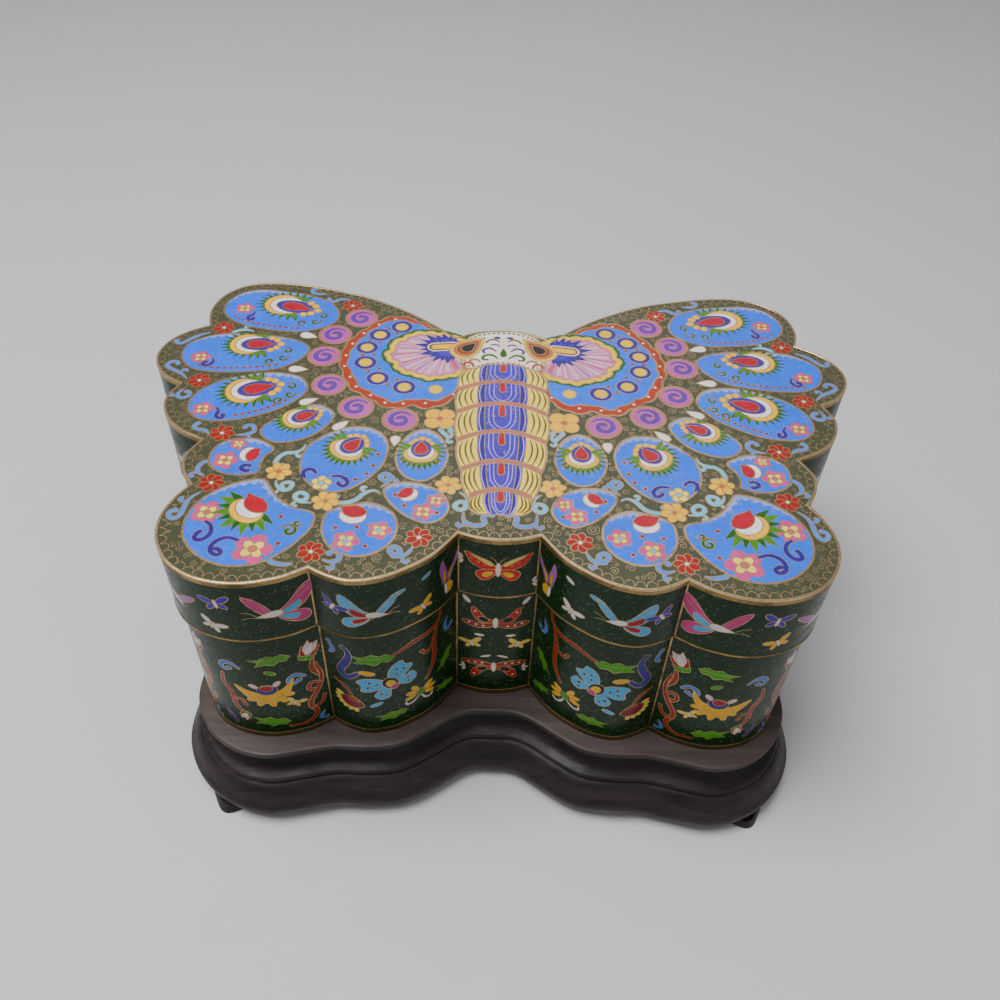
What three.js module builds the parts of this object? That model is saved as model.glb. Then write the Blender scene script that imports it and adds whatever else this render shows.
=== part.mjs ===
// Cloisonné enamel box shaped as a butterfly, with its lift-off lid and its carved wooden stand.
// Millimetres, +Z up, +X across the wings, -Y towards the tail (the front), +Y towards the head.
import * as THREE from 'three';

// Heights.
const footHeight = 3.7;
const standHeight = 38;            // skirt edge up to the flat platform
const boxHeight = 104;             // box underside up to the lid's top
const seamHeight = 69.6;           // box underside up to the lid's lower edge
const gap = 0.3;                   // clearance between pieces that touch

// Sheet metal with enamel on both faces.
const lidWall = 2.4;
const lidTop = 2.6;
const boxInset = 1.8;              // how far the box wall stands inside the lid's outline
const boxWall = 2.4;
const boxFloor = 2.6;
const collarInset = 2.9;           // the upstand that keeps the lid in place
const collarHeight = 8;

// Stand: moulded edge measured from the platform's edge (+ is outwards) and down from its top.
const standLip = 3;
const recessInset = 6;             // hollow underside
const recessTop = 18;
const standEdge = [
  [-1.2, 0],
  [0, 1],
  [0, standLip],
  [-4.5, 4.2],
  [-6.5, 7.5],
  [-6, 12],
  [-2.5, 16],
  [2, 18],
  [2, 19],
  [1, 20],
  [3.4, 21.6],
  [5.6, 24.5],
  [7.2, 27.6],
  [9, 30.5],
  [9.2, 34],
  [8, standHeight],
  [-recessInset, standHeight],
  [-recessInset, recessTop],
];

// Feet: square pads turned a little, one corner showing past the skirt.
const footSize = 24;
const footSplay = 1.5;             // underside wider than the top
const footTurn = THREE.MathUtils.degToRad(-27);
const frontFoot = [115, -83.5];
const backFoot = [124, 104];

const lidStep = 7;                 // length of one facet along the outlines
const standStep = 9;

// Right half of the lid's outline: pointed notches joined by rounded lobes.
const lidLobes = [
  [[0, -60.4], [8, -59.6], [15.7, -57.2]],
  [[15.7, -57.2], [23.5, -67.8], [32, -74.8], [42, -80.4], [53, -82.8], [62, -80.9], [69.6, -77]],
  [[69.6, -77], [80, -82.7], [95, -86], [110, -83.6], [121.5, -76.4], [128.5, -65], [130, -53.5],
    [127.2, -42.8], [123, -35.2]],
  [[123, -35.2], [128.3, -26.8], [129.4, -17.5], [125.3, -8.2]],
  [[125.3, -8.2], [136, -2.2], [144, 6.4], [147.6, 18.5], [144, 29.5]],
  [[144, 29.5], [152, 34.5], [158.2, 43], [160, 52.5], [157, 62.5], [150.5, 70], [141.9, 75.7]],
  [[141.9, 75.7], [144.4, 87.5], [141.7, 101], [133.5, 110.9], [121, 115.6], [105, 115.4],
    [87.5, 111.6], [69, 105.6], [51, 95.9], [36, 84.8], [23, 72.8]],
  [[23, 72.8], [12, 78.3], [0, 80]],
];

// Right half of the platform's edge, one smooth line that follows the box more loosely.
const standLine = [
  [0, -68], [9, -68.2], [18, -71.6], [29, -79.2], [41, -86.2], [55, -88.2], [69, -88.2],
  [83, -91], [98, -93.6], [113, -89.6], [125, -79.8], [132.2, -66], [133.2, -52], [131.4, -38],
  [133, -24], [134.6, -10], [142.5, -1], [150.5, 8.5], [153.6, 20], [158.5, 30], [165, 41],
  [166.4, 54], [161.5, 67], [153.2, 77], [150.8, 90], [146.8, 104.5], [138, 115.8], [124, 121.8],
  [107, 121.8], [88, 118], [68.5, 111.6], [50, 101.6], [35, 91.2], [22, 85], [11, 85.4], [0, 86],
];

const sample = (points, step) => {
  const curve = new THREE.SplineCurve(points.map(([x, y]) => new THREE.Vector2(x, y)));
  return curve.getSpacedPoints(Math.max(3, Math.round(curve.getLength() / step)));
};

// A whole outline, anticlockwise seen from above, from the points of its right half.
const closeOutline = (rightHalf) => {
  const leftHalf = rightHalf.slice(1, -1).reverse().map((p) => new THREE.Vector2(-p.x, p.y));
  return [...rightHalf, ...leftHalf];
};

const lidOutline = closeOutline(lidLobes.flatMap((lobe, i) => sample(lobe, lidStep).slice(i ? 1 : 0)));
const standOutline = closeOutline(sample(standLine, standStep));

// Moves an outline outwards by a distance, keeping its corners pointed.
const offsetOutline = (outline, distance) => outline.map((point, i) => {
  const before = outline[(i + outline.length - 1) % outline.length];
  const after = outline[(i + 1) % outline.length];
  const edgeIn = point.clone().sub(before).normalize();
  const edgeOut = after.clone().sub(point).normalize();
  const normal = new THREE.Vector2(edgeIn.y + edgeOut.y, -edgeIn.x - edgeOut.x);
  normal.multiplyScalar(distance / (1 + edgeIn.dot(edgeOut)));
  return point.clone().add(normal);
});

// A closed body from a section that runs from its upper face, round the edge, to its lower face.
const ringBody = (outline, section) => {
  const count = outline.length;
  const positions = section.flatMap(([distance, z]) =>
    offsetOutline(outline, distance).flatMap((p) => [p.x, p.y, z]));
  const indices = [];
  for (let ring = 0; ring < section.length - 1; ring += 1) {
    for (let i = 0; i < count; i += 1) {
      const next = (i + 1) % count;
      const a = ring * count + i;
      const b = ring * count + next;
      const c = (ring + 1) * count + i;
      const d = (ring + 1) * count + next;
      indices.push(a, c, b, b, c, d);
    }
  }
  const cap = (ring, flip) => {
    const face = offsetOutline(outline, section[ring][0]);
    for (const [a, b, c] of THREE.ShapeUtils.triangulateShape(face, [])) {
      const base = ring * count;
      indices.push(base + a, base + (flip ? c : b), base + (flip ? b : c));
    }
  };
  cap(0, false);
  cap(section.length - 1, true);
  const geometry = new THREE.BufferGeometry();
  geometry.setAttribute('position', new THREE.Float32BufferAttribute(positions, 3));
  geometry.setIndex(indices);
  geometry.computeVertexNormals();
  return geometry;
};

const platform = footHeight + gap + standHeight;   // the box stands on this height
const boxBase = platform + gap;
const lidEdge = boxBase + seamHeight;
const lidCrown = boxBase + boxHeight;

const lidGeometry = () => ringBody(lidOutline, [
  [0, lidCrown],
  [0, lidEdge],
  [-lidWall, lidEdge],
  [-lidWall, lidCrown - lidTop],
]);

const boxGeometry = () => {
  const ledge = lidEdge - gap;
  const collarTop = ledge + collarHeight;
  const inner = boxInset + boxWall;
  return ringBody(lidOutline, [
    [-inner, boxBase + boxFloor],
    [-inner, collarTop],
    [-collarInset, collarTop],
    [-collarInset, ledge],
    [-boxInset, ledge],
    [-boxInset, boxBase],
  ]);
};

const standGeometry = () =>
  ringBody(standOutline, standEdge.map(([distance, drop]) => [distance, platform - drop]));

const footGeometry = () => {
  const geometry = new THREE.BoxGeometry(footSize, footSize, footHeight);
  const position = geometry.attributes.position;
  for (let i = 0; i < position.count; i += 1) {
    const grow = position.getZ(i) < 0 ? 1 + 2 * footSplay / footSize : 1;
    position.setXY(i, position.getX(i) * grow, position.getY(i) * grow);
  }
  return geometry.translate(0, 0, footHeight / 2);
};

const enamelLid = new THREE.MeshStandardMaterial({ color: 0x2e4a38, roughness: 0.3 });
const enamelBox = new THREE.MeshStandardMaterial({ color: 0x1d3a28, roughness: 0.3 });
const wood = new THREE.MeshStandardMaterial({ color: 0x2b2024, roughness: 0.5 });

const part = new THREE.Group();
part.name = 'butterfly_box';

const addPiece = (name, geometry, material) => {
  const mesh = new THREE.Mesh(geometry, material.clone());
  mesh.material.name = material.name;
  mesh.name = name;
  part.add(mesh);
  return mesh;
};

enamelLid.name = 'enamel_lid';
enamelBox.name = 'enamel_box';
wood.name = 'dark_wood';

addPiece('lid', lidGeometry(), enamelLid);
addPiece('box', boxGeometry(), enamelBox);
addPiece('stand', standGeometry(), wood);

const addFoot = (name, [x, y], side, turn) => {
  const geometry = footGeometry().rotateZ(side * turn).translate(side * x, y, 0);
  addPiece(name, geometry, wood);
};
addFoot('foot_front_right', frontFoot, 1, footTurn);
addFoot('foot_front_left', frontFoot, -1, footTurn);
addFoot('foot_back_right', backFoot, 1, -footTurn);
addFoot('foot_back_left', backFoot, -1, -footTurn);

// The origin is the middle of the whole part's footprint, at the feet's underside.
const bounds = new THREE.Box3().setFromObject(part);
const middleY = (bounds.min.y + bounds.max.y) / 2;
part.children.forEach((mesh) => mesh.geometry.translate(0, -middleY, 0));

export default part;
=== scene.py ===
import bpy, bmesh, math, random
import numpy as np
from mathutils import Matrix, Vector, kdtree
from mathutils.geometry import delaunay_2d_cdt


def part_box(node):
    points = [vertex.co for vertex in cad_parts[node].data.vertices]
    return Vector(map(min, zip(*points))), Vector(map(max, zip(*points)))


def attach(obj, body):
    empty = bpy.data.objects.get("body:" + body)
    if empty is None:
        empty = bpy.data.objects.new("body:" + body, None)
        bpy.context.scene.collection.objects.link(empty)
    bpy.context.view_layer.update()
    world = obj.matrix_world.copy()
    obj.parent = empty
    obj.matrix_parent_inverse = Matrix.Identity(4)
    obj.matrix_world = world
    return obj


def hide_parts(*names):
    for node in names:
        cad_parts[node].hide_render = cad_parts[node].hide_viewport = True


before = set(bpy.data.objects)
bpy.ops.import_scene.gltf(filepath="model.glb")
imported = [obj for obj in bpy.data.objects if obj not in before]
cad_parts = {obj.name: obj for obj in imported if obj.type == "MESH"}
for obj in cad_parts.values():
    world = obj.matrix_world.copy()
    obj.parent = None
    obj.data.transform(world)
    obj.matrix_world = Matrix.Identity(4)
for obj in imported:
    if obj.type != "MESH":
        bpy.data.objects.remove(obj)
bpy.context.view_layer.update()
random.seed(7)
turn = 2 * math.pi

# The enamel's colours, as sRGB from 0 to 255, and how much richer than that they are mixed.
tints = {
    "ground": (70, 72, 54), "groundDark": (18, 50, 20), "blue": (40, 112, 240), "mist": (150, 168, 214),
    "red": (172, 50, 60), "madder": (150, 48, 42), "brick": (164, 66, 50), "deepRed": (150, 52, 44),
    "yellow": (252, 200, 0), "cream": (255, 226, 134), "ivory": (250, 240, 214), "white": (252, 246, 240),
    "violet": (66, 46, 140), "indigo": (46, 34, 132), "lilac": (178, 116, 188), "pink": (206, 88, 142),
    "rose": (214, 132, 186), "plum": (96, 56, 150), "leaf": (76, 132, 24), "deepLeaf": (34, 92, 34),
    "sky": (128, 196, 222), "peri": (92, 136, 210), "dusty": (184, 116, 100), "brown": (150, 72, 34),
    "black": (26, 22, 24), "wine": (132, 44, 58), "wire": (200, 150, 92), "olive": (96, 92, 44),
    "lightGreen": (88, 164, 58), "ultra": (44, 40, 138), "amber": (252, 198, 0), "bodyBlue": (72, 54, 172),
    "bodyLine": (176, 160, 236), "scarlet": (214, 66, 40), "skyBlue": (112, 186, 232),
    "scarletDeep": (196, 60, 48), "pinkWhite": (248, 214, 224), "orchid": (182, 98, 160),
    "shell": (234, 182, 212), "yellowCream": (250, 208, 84), "orangeBrown": (204, 110, 40)}
tintStrength = 1.25


def toLinear(value):
    value /= 255
    return value / 12.92 if value <= 0.04045 else ((value + 0.055) / 1.055) ** 2.4


def linearTint(name):  # a little richer than the plain tint
    colour = [toLinear(c) for c in tints[name]]
    grey = 0.3 * colour[0] + 0.6 * colour[1] + 0.1 * colour[2]
    return tuple(max(0.002, grey + (c - grey) * tintStrength) for c in colour)


# Plane geometry, in millimetres.
def catmull(p0, p1, p2, p3, t):
    out = []
    for a, b, c, d in zip(p0, p1, p2, p3):
        v0 = (c - a) / 2
        v1 = (d - b) / 2
        out.append((2 * b - 2 * c + v0 + v1) * t ** 3 + (-3 * b + 3 * c - 2 * v0 - v1) * t * t + v0 * t + b)
    return tuple(out)


def resample(points, step, closed=False):
    if closed:
        points = points + points[:1]
    total = sum(math.dist(a, b) for a, b in zip(points, points[1:]))
    count = max(3 if closed else 1, round(total / step))
    out = []
    walked = 0
    target = 0
    for a, b in zip(points, points[1:]):
        length = math.dist(a, b)
        while target <= walked + length + 1e-9 and len(out) < count:
            t = (target - walked) / length if length else 0
            out.append((a[0] + (b[0] - a[0]) * t, a[1] + (b[1] - a[1]) * t))
            target += total / count
        walked += length
    if not closed:
        out.append(points[-1])
    return out


def openSpline(points, step):
    fine = []
    last = len(points) - 1
    for i in range(last):
        p0, p3 = points[max(i - 1, 0)], points[min(i + 2, last)]
        fine += [catmull(p0, points[i], points[i + 1], p3, k / 16) for k in range(16)]
    return resample(fine + [points[-1]], step)


def softLine(points, step):  # corners cut round
    for _ in range(3):
        cut = [points[0]]
        for a, b in zip(points, points[1:]):
            cut.append((a[0] * 0.75 + b[0] * 0.25, a[1] * 0.75 + b[1] * 0.25))
            cut.append((a[0] * 0.25 + b[0] * 0.75, a[1] * 0.25 + b[1] * 0.75))
        points = cut + [points[-1]]
    return resample(points, step)


def closedSpline(points, step):
    count = len(points)
    fine = []
    for i in range(count):
        p = [points[(i + k - 1) % count] for k in range(4)]
        fine += [catmull(*p, k / 16) for k in range(16)]
    return resample(fine, step, True)


def signedArea(loop):
    return sum(a[0] * b[1] - b[0] * a[1] for a, b in zip(loop, loop[1:] + loop[:1])) / 2


def offsetLoop(loop, distance, sharp=True):
    count = len(loop)
    sign = 1 if signedArea(loop) > 0 else -1
    out = []
    for i in range(count):
        a, b, c = loop[i - 1], loop[i], loop[(i + 1) % count]
        inLen = math.dist(a, b) or 1e-9
        outLen = math.dist(b, c) or 1e-9
        e1 = ((b[0] - a[0]) / inLen, (b[1] - a[1]) / inLen)
        e2 = ((c[0] - b[0]) / outLen, (c[1] - b[1]) / outLen)
        nx = e1[1] + e2[1]
        ny = -e1[0] - e2[0]
        k = 1 + e1[0] * e2[0] + e1[1] * e2[1]
        k = max(k, 0.35 if sharp else 1.0)
        out.append((b[0] + sign * nx * distance / k, b[1] + sign * ny * distance / k))
    return out


def wavyLoop(loop, depth, pitch):  # scalloped outwards
    total = sum(math.dist(a, b) for a, b in zip(loop, loop[1:] + loop[:1]))
    count = round(total / pitch)
    out, walked = [], 0.0
    high = offsetLoop(loop, 1.0, False)
    for p, q, after in zip(loop, high, loop[1:] + loop[:1]):
        lift = depth * abs(math.sin(math.pi * count * walked / total))
        out.append((p[0] + (q[0] - p[0]) * lift, p[1] + (q[1] - p[1]) * lift))
        walked += math.dist(p, after)
    return out


def strokeLoop(points, width, taperStart=1.0, taperEnd=1.0):
    left, right = [], []
    last = len(points) - 1
    for i, p in enumerate(points):
        a, b = points[max(i - 1, 0)], points[min(i + 1, last)]
        length = math.dist(a, b) or 1e-9
        nx, ny = -(b[1] - a[1]) / length, (b[0] - a[0]) / length
        t = i / last
        grow = min(1, taperStart + (1 - taperStart) * min(1, t * 3),
                   taperEnd + (1 - taperEnd) * min(1, (1 - t) * 3))
        half = width / 2 * grow
        left.append((p[0] + nx * half, p[1] + ny * half))
        right.append((p[0] - nx * half, p[1] - ny * half))
    return left + right[::-1]


def ellipseLoop(cx, cy, rx, ry, deg=0, count=28):
    c, s = math.cos(math.radians(deg)), math.sin(math.radians(deg))
    out = []
    for i in range(count):
        u, v = rx * math.cos(turn * i / count), ry * math.sin(turn * i / count)
        out.append((cx + u * c - v * s, cy + u * s + v * c))
    return out


def curlOn(points, radius, turns, inner=0.2):  # the line runs on into a tightening curl
    a, b, c = points[-3], points[-2], points[-1]
    bend = (b[0] - a[0]) * (c[1] - b[1]) - (b[1] - a[1]) * (c[0] - b[0])
    way = 1 if bend >= 0 else -1
    heading = math.atan2(c[1] - b[1], c[0] - b[0])
    x, y = c
    out = list(points)
    steps = max(4, round(turns * 14))
    for i in range(steps):
        r = radius * (1 - (1 - inner) * i / steps)
        heading += way * turn * turns / steps
        length = r * turn * turns / steps
        x, y = x + length * math.cos(heading), y + length * math.sin(heading)
        out.append((x, y))
    return out


def dropLoop(tip, end, half, count=22):
    out = []
    for i in range(count):  # a teardrop along u, pointed at tip
        a = turn * i / count
        out.append(((tip + end) / 2 - math.cos(a) * (end - tip) / 2,
                    -1.35 * half * math.sin(a) * abs(math.sin(a / 2)) ** 1.2))
    return out


def spiralLine(cx, cy, radius, turns, start, direction=1, inner=0.12):
    count = max(8, int(turns * 14))
    out = []
    for i in range(count + 1):
        t = i / count
        r = radius * (1 - (1 - inner) * t)
        a = start + direction * turn * turns * t
        out.append((cx + r * math.cos(a), cy + r * math.sin(a)))
    return out


def placer(cx, cy, deg=0, scale=1.0, side=1):
    c, s = math.cos(math.radians(deg)) * scale, math.sin(math.radians(deg)) * scale

    def place(loop):
        return [(side * (cx + u * c - v * s), cy + u * s + v * c) for u, v in loop]
    return place


def insideLoop(p, loop):
    hit = False
    for a, b in zip(loop, loop[1:] + loop[:1]):
        if (a[1] > p[1]) != (b[1] > p[1]) and p[0] < a[0] + (p[1] - a[1]) / (b[1] - a[1]) * (b[0] - a[0]):
            hit = not hit
    return hit


# Flush inlay: painted shapes are cut into one flat mesh, and the last one painted lies on top. Millimetres.
inlayLook = {"wireWidth": 0.42, "fineWire": 0.3, "sink": 0.2}


class Inlay:
    def __init__(self):
        self.loops, self.paints, self.regions = [], [], []
        self.extra, self.areas = [], []  # loose lines for the cut, and where no spiral is laid
        self.onWing = False  # the eyed panels of the wings make a piece of their own

    def fill(self, loop, tint, speck=0.5):
        area = signedArea(loop)
        if abs(area) > 0.01:  # the cut wants its loops counterclockwise
            self.loops.append(loop if area > 0 else loop[::-1])
            self.paints.append((tint, speck))

    def cell(self, loop, tint, wire=None, speck=0.5):  # enamel with a wire round it
        wire = inlayLook["wireWidth"] if wire is None else wire
        self.fill(offsetLoop(loop, wire / 2, False), "wire", 0.2)
        self.fill(offsetLoop(loop, -wire / 2, False), tint, speck)

    def line(self, points, width=None):
        self.fill(strokeLoop(points, inlayLook["fineWire"] if width is None else width), "wire", 0.2)

    def band(self, points, width, tint, start=0.5, end=0.6, wire=None, speck=0.5, bulb=0.0):
        wire = inlayLook["wireWidth"] if wire is None else wire
        loops = [strokeLoop(points, width, start, end)]
        if bulb:  # a round end to a curl
            loops.append(ellipseLoop(points[-1][0], points[-1][1], width * bulb, width * bulb, 0, 14))
        for loop in loops:
            self.fill(offsetLoop(loop, wire / 2, False), "wire", 0.2)
        for loop in loops:
            self.fill(offsetLoop(loop, -wire / 2, False), tint, speck)

    def region(self, loop):  # a part of the picture that is cut by itself, inside its own border
        self.over(loop)
        self.cover(loop)
        self.regions.append(Inlay())
        self.regions[-1].fill(loop, "wire", 0.2)
        return self.regions[-1]

    def over(self, loop):  # what is drawn next on the whole hides the regions below it
        xs, ys = [p[0] for p in loop], [p[1] for p in loop]
        for r in self.regions:
            us, vs = [p[0] for p in r.loops[0]], [p[1] for p in r.loops[0]]
            if min(xs) < max(us) and min(us) < max(xs) and min(ys) < max(vs) and min(vs) < max(ys):
                r.cover(loop)

    def cover(self, loop):  # left to what lies over it
        self.loops.append(loop if signedArea(loop) > 0 else loop[::-1])
        self.paints.append(None)

    def cut(self, clip=False):
        verts, edges = [], []
        for loop in self.loops:
            first, count = len(verts), len(loop)
            verts += [Vector(p) for p in loop]
            edges += [(first + i, first + (i + 1) % count) for i in range(count)]
        for a, b in self.extra:
            edges.append((len(verts), len(verts) + 1))
            verts += [Vector(a), Vector(b)]
        outVerts, _, outFaces = delaunay_2d_cdt(verts, edges, [], 0, 1e-5, False)[:3]
        spots = np.array([[p.x, p.y] for p in outVerts])
        faces = np.array(outFaces)
        middle = spots[faces].mean(1)
        order = np.argsort(middle[:, 0])
        faces, middle = faces[order], middle[order]
        top = np.full(len(faces), -1)
        for k, loop in enumerate(self.loops):  # the last shape that goes round a triangle gives it its colour
            ring = np.array(loop)
            low, high = ring.min(0), ring.max(0)
            first, last = np.searchsorted(middle[:, 0], (low[0], high[0]))
            some = first + np.nonzero((middle[first:last, 1] > low[1]) & (middle[first:last, 1] < high[1]))[0]
            x, y = middle[some, 0][:, None], middle[some, 1][:, None]
            x0, y0 = ring[:, 0], ring[:, 1]
            x1, y1 = np.roll(x0, -1), np.roll(y0, -1)
            rise = np.where(y1 == y0, 1, y1 - y0)
            right = x < x0 + (y - y0) / rise * (x1 - x0)
            wound = ((y0 <= y) & (y1 > y) & right).sum(1) - ((y1 <= y) & (y0 > y) & right).sum(1)
            inside = some[wound > 0]
            if clip and k == 0:
                border = np.zeros(len(faces), bool)
                border[inside] = True
            top[inside] = k
        painted = np.array([p is not None for p in self.paints] + [False])
        keep = painted[top]
        if clip:
            keep &= border
        used, faces = np.unique(faces[keep], return_inverse=True)
        return [outVerts[i] for i in used], faces.reshape(-1, 3).tolist(), [self.paints[k] for k in top[keep]]


def inlayPiece(name, parts, materials):
    verts, normals, faces, paint = [], [], [], []
    for inlay, place, normalAt, clip in parts:
        flat, cut, shades = inlay.cut(clip)
        first = len(verts)
        verts += [place(p[0], p[1]) for p in flat]
        normals += [normalAt(p[0], p[1]) for p in flat]
        faces += [[first + i for i in face] for face in cut]
        paint += shades
    mesh = bpy.data.meshes.new(name)
    mesh.from_pydata(verts, [], faces)
    for material in materials:
        mesh.materials.append(material)
    colour = mesh.color_attributes.new("tint", "FLOAT_COLOR", "CORNER")
    values = []
    for polygon, (tint, speck) in zip(mesh.polygons, paint):
        polygon.material_index = 1 if tint == "wire" else 0
        polygon.use_smooth = True
        values += list(linearTint(tint) + (speck,)) * polygon.loop_total
    colour.data.foreach_set("color", values)
    mesh.normals_split_custom_set_from_vertices(normals)
    piece = bpy.data.objects.new(name, mesh)
    bpy.context.collection.objects.link(piece)
    return piece


# The lid's outline, the butterfly's tail towards -Y, in millimetres. The box follows it, set in.
lidLook = {"facet": 2.2, "rimWidth": 1.2, "rimHeight": 2.7, "edgeHeight": 1.2, "scallopPitch": 4.4,
           "scallopDepth": 2.6}
boxLook = {"facet": 2.2, "inset": 1.8, "footRing": 2.8, "seamWire": 0.8, "cornerStrip": 0.9}
lidLobes = [
    [(0, -60.4), (8, -59.6), (15.7, -57.2)],
    [(15.7, -57.2), (23.5, -67.8), (32, -74.8), (42, -80.4), (53, -82.8), (62, -80.9), (69.6, -77)],
    [(69.6, -77), (80, -82.7), (95, -86), (110, -83.6), (121.5, -76.4), (128.5, -65), (130, -53.5),
     (127.2, -42.8), (123, -35.2)],
    [(123, -35.2), (128.3, -26.8), (129.4, -17.5), (125.3, -8.2)],
    [(125.3, -8.2), (136, -2.2), (144, 6.4), (147.6, 18.5), (144, 29.5)],
    [(144, 29.5), (152, 34.5), (158.2, 43), (160, 52.5), (157, 62.5), (150.5, 70), (141.9, 75.7)],
    [(141.9, 75.7), (144.4, 87.5), (141.7, 101), (133.5, 110.9), (121, 115.6), (105, 115.4), (87.5, 111.6),
     (69, 105.6), (51, 95.9), (36, 84.8), (23, 72.8)],
    [(23, 72.8), (12, 78.3), (0, 80)]]
standLine = [
    (0, -68), (9, -68.2), (18, -71.6), (29, -79.2), (41, -86.2), (55, -88.2), (69, -88.2), (83, -91),
    (98, -93.6), (113, -89.6), (125, -79.8), (132.2, -66), (133.2, -52), (131.4, -38), (133, -24),
    (134.6, -10), (142.5, -1), (150.5, 8.5), (153.6, 20), (158.5, 30), (165, 41), (166.4, 54), (161.5, 67),
    (153.2, 77), (150.8, 90), (146.8, 104.5), (138, 115.8), (124, 121.8), (107, 121.8), (88, 118),
    (68.5, 111.6), (50, 101.6), (35, 91.2), (22, 85), (11, 85.4), (0, 86)]
mm = 0.001
lidBox, boxBox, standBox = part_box("lid"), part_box("box"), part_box("stand")
lidSpanY = [y for lobe in lidLobes for p in [openSpline(lobe, 1.0)] for _, y in p]
shiftY = lidBox[0].y / mm - min(lidSpanY)
crown, seam, ledge = lidBox[1].z / mm, lidBox[0].z / mm, lidBox[0].z / mm - 0.3
boxBase, collarTop = boxBox[0].z / mm, boxBox[1].z / mm
standTop = standBox[1].z / mm


def place3(x, y, z):
    return Vector((x * mm, (y + shiftY) * mm, z * mm))


class Outline:  # a closed loop, counterclockwise, with the places where its lobes meet
    def __init__(self, lobes, step):
        right = []
        self.notches = []
        for lobe in lobes:
            run = openSpline(lobe, step)
            right += run[:-1]
            if lobe is not lobes[-1]:
                self.notches.append(len(right))
        right.append(lobes[-1][-1])
        last = len(right) - 1
        self.loop = right + [(-x, y) for x, y in right[-2:0:-1]]
        self.notches += [2 * last - i for i in self.notches[::-1]]

    def at(self, distance):
        return offsetLoop(self.loop, distance)


lidOutline = Outline(lidLobes, lidLook["facet"])


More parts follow.
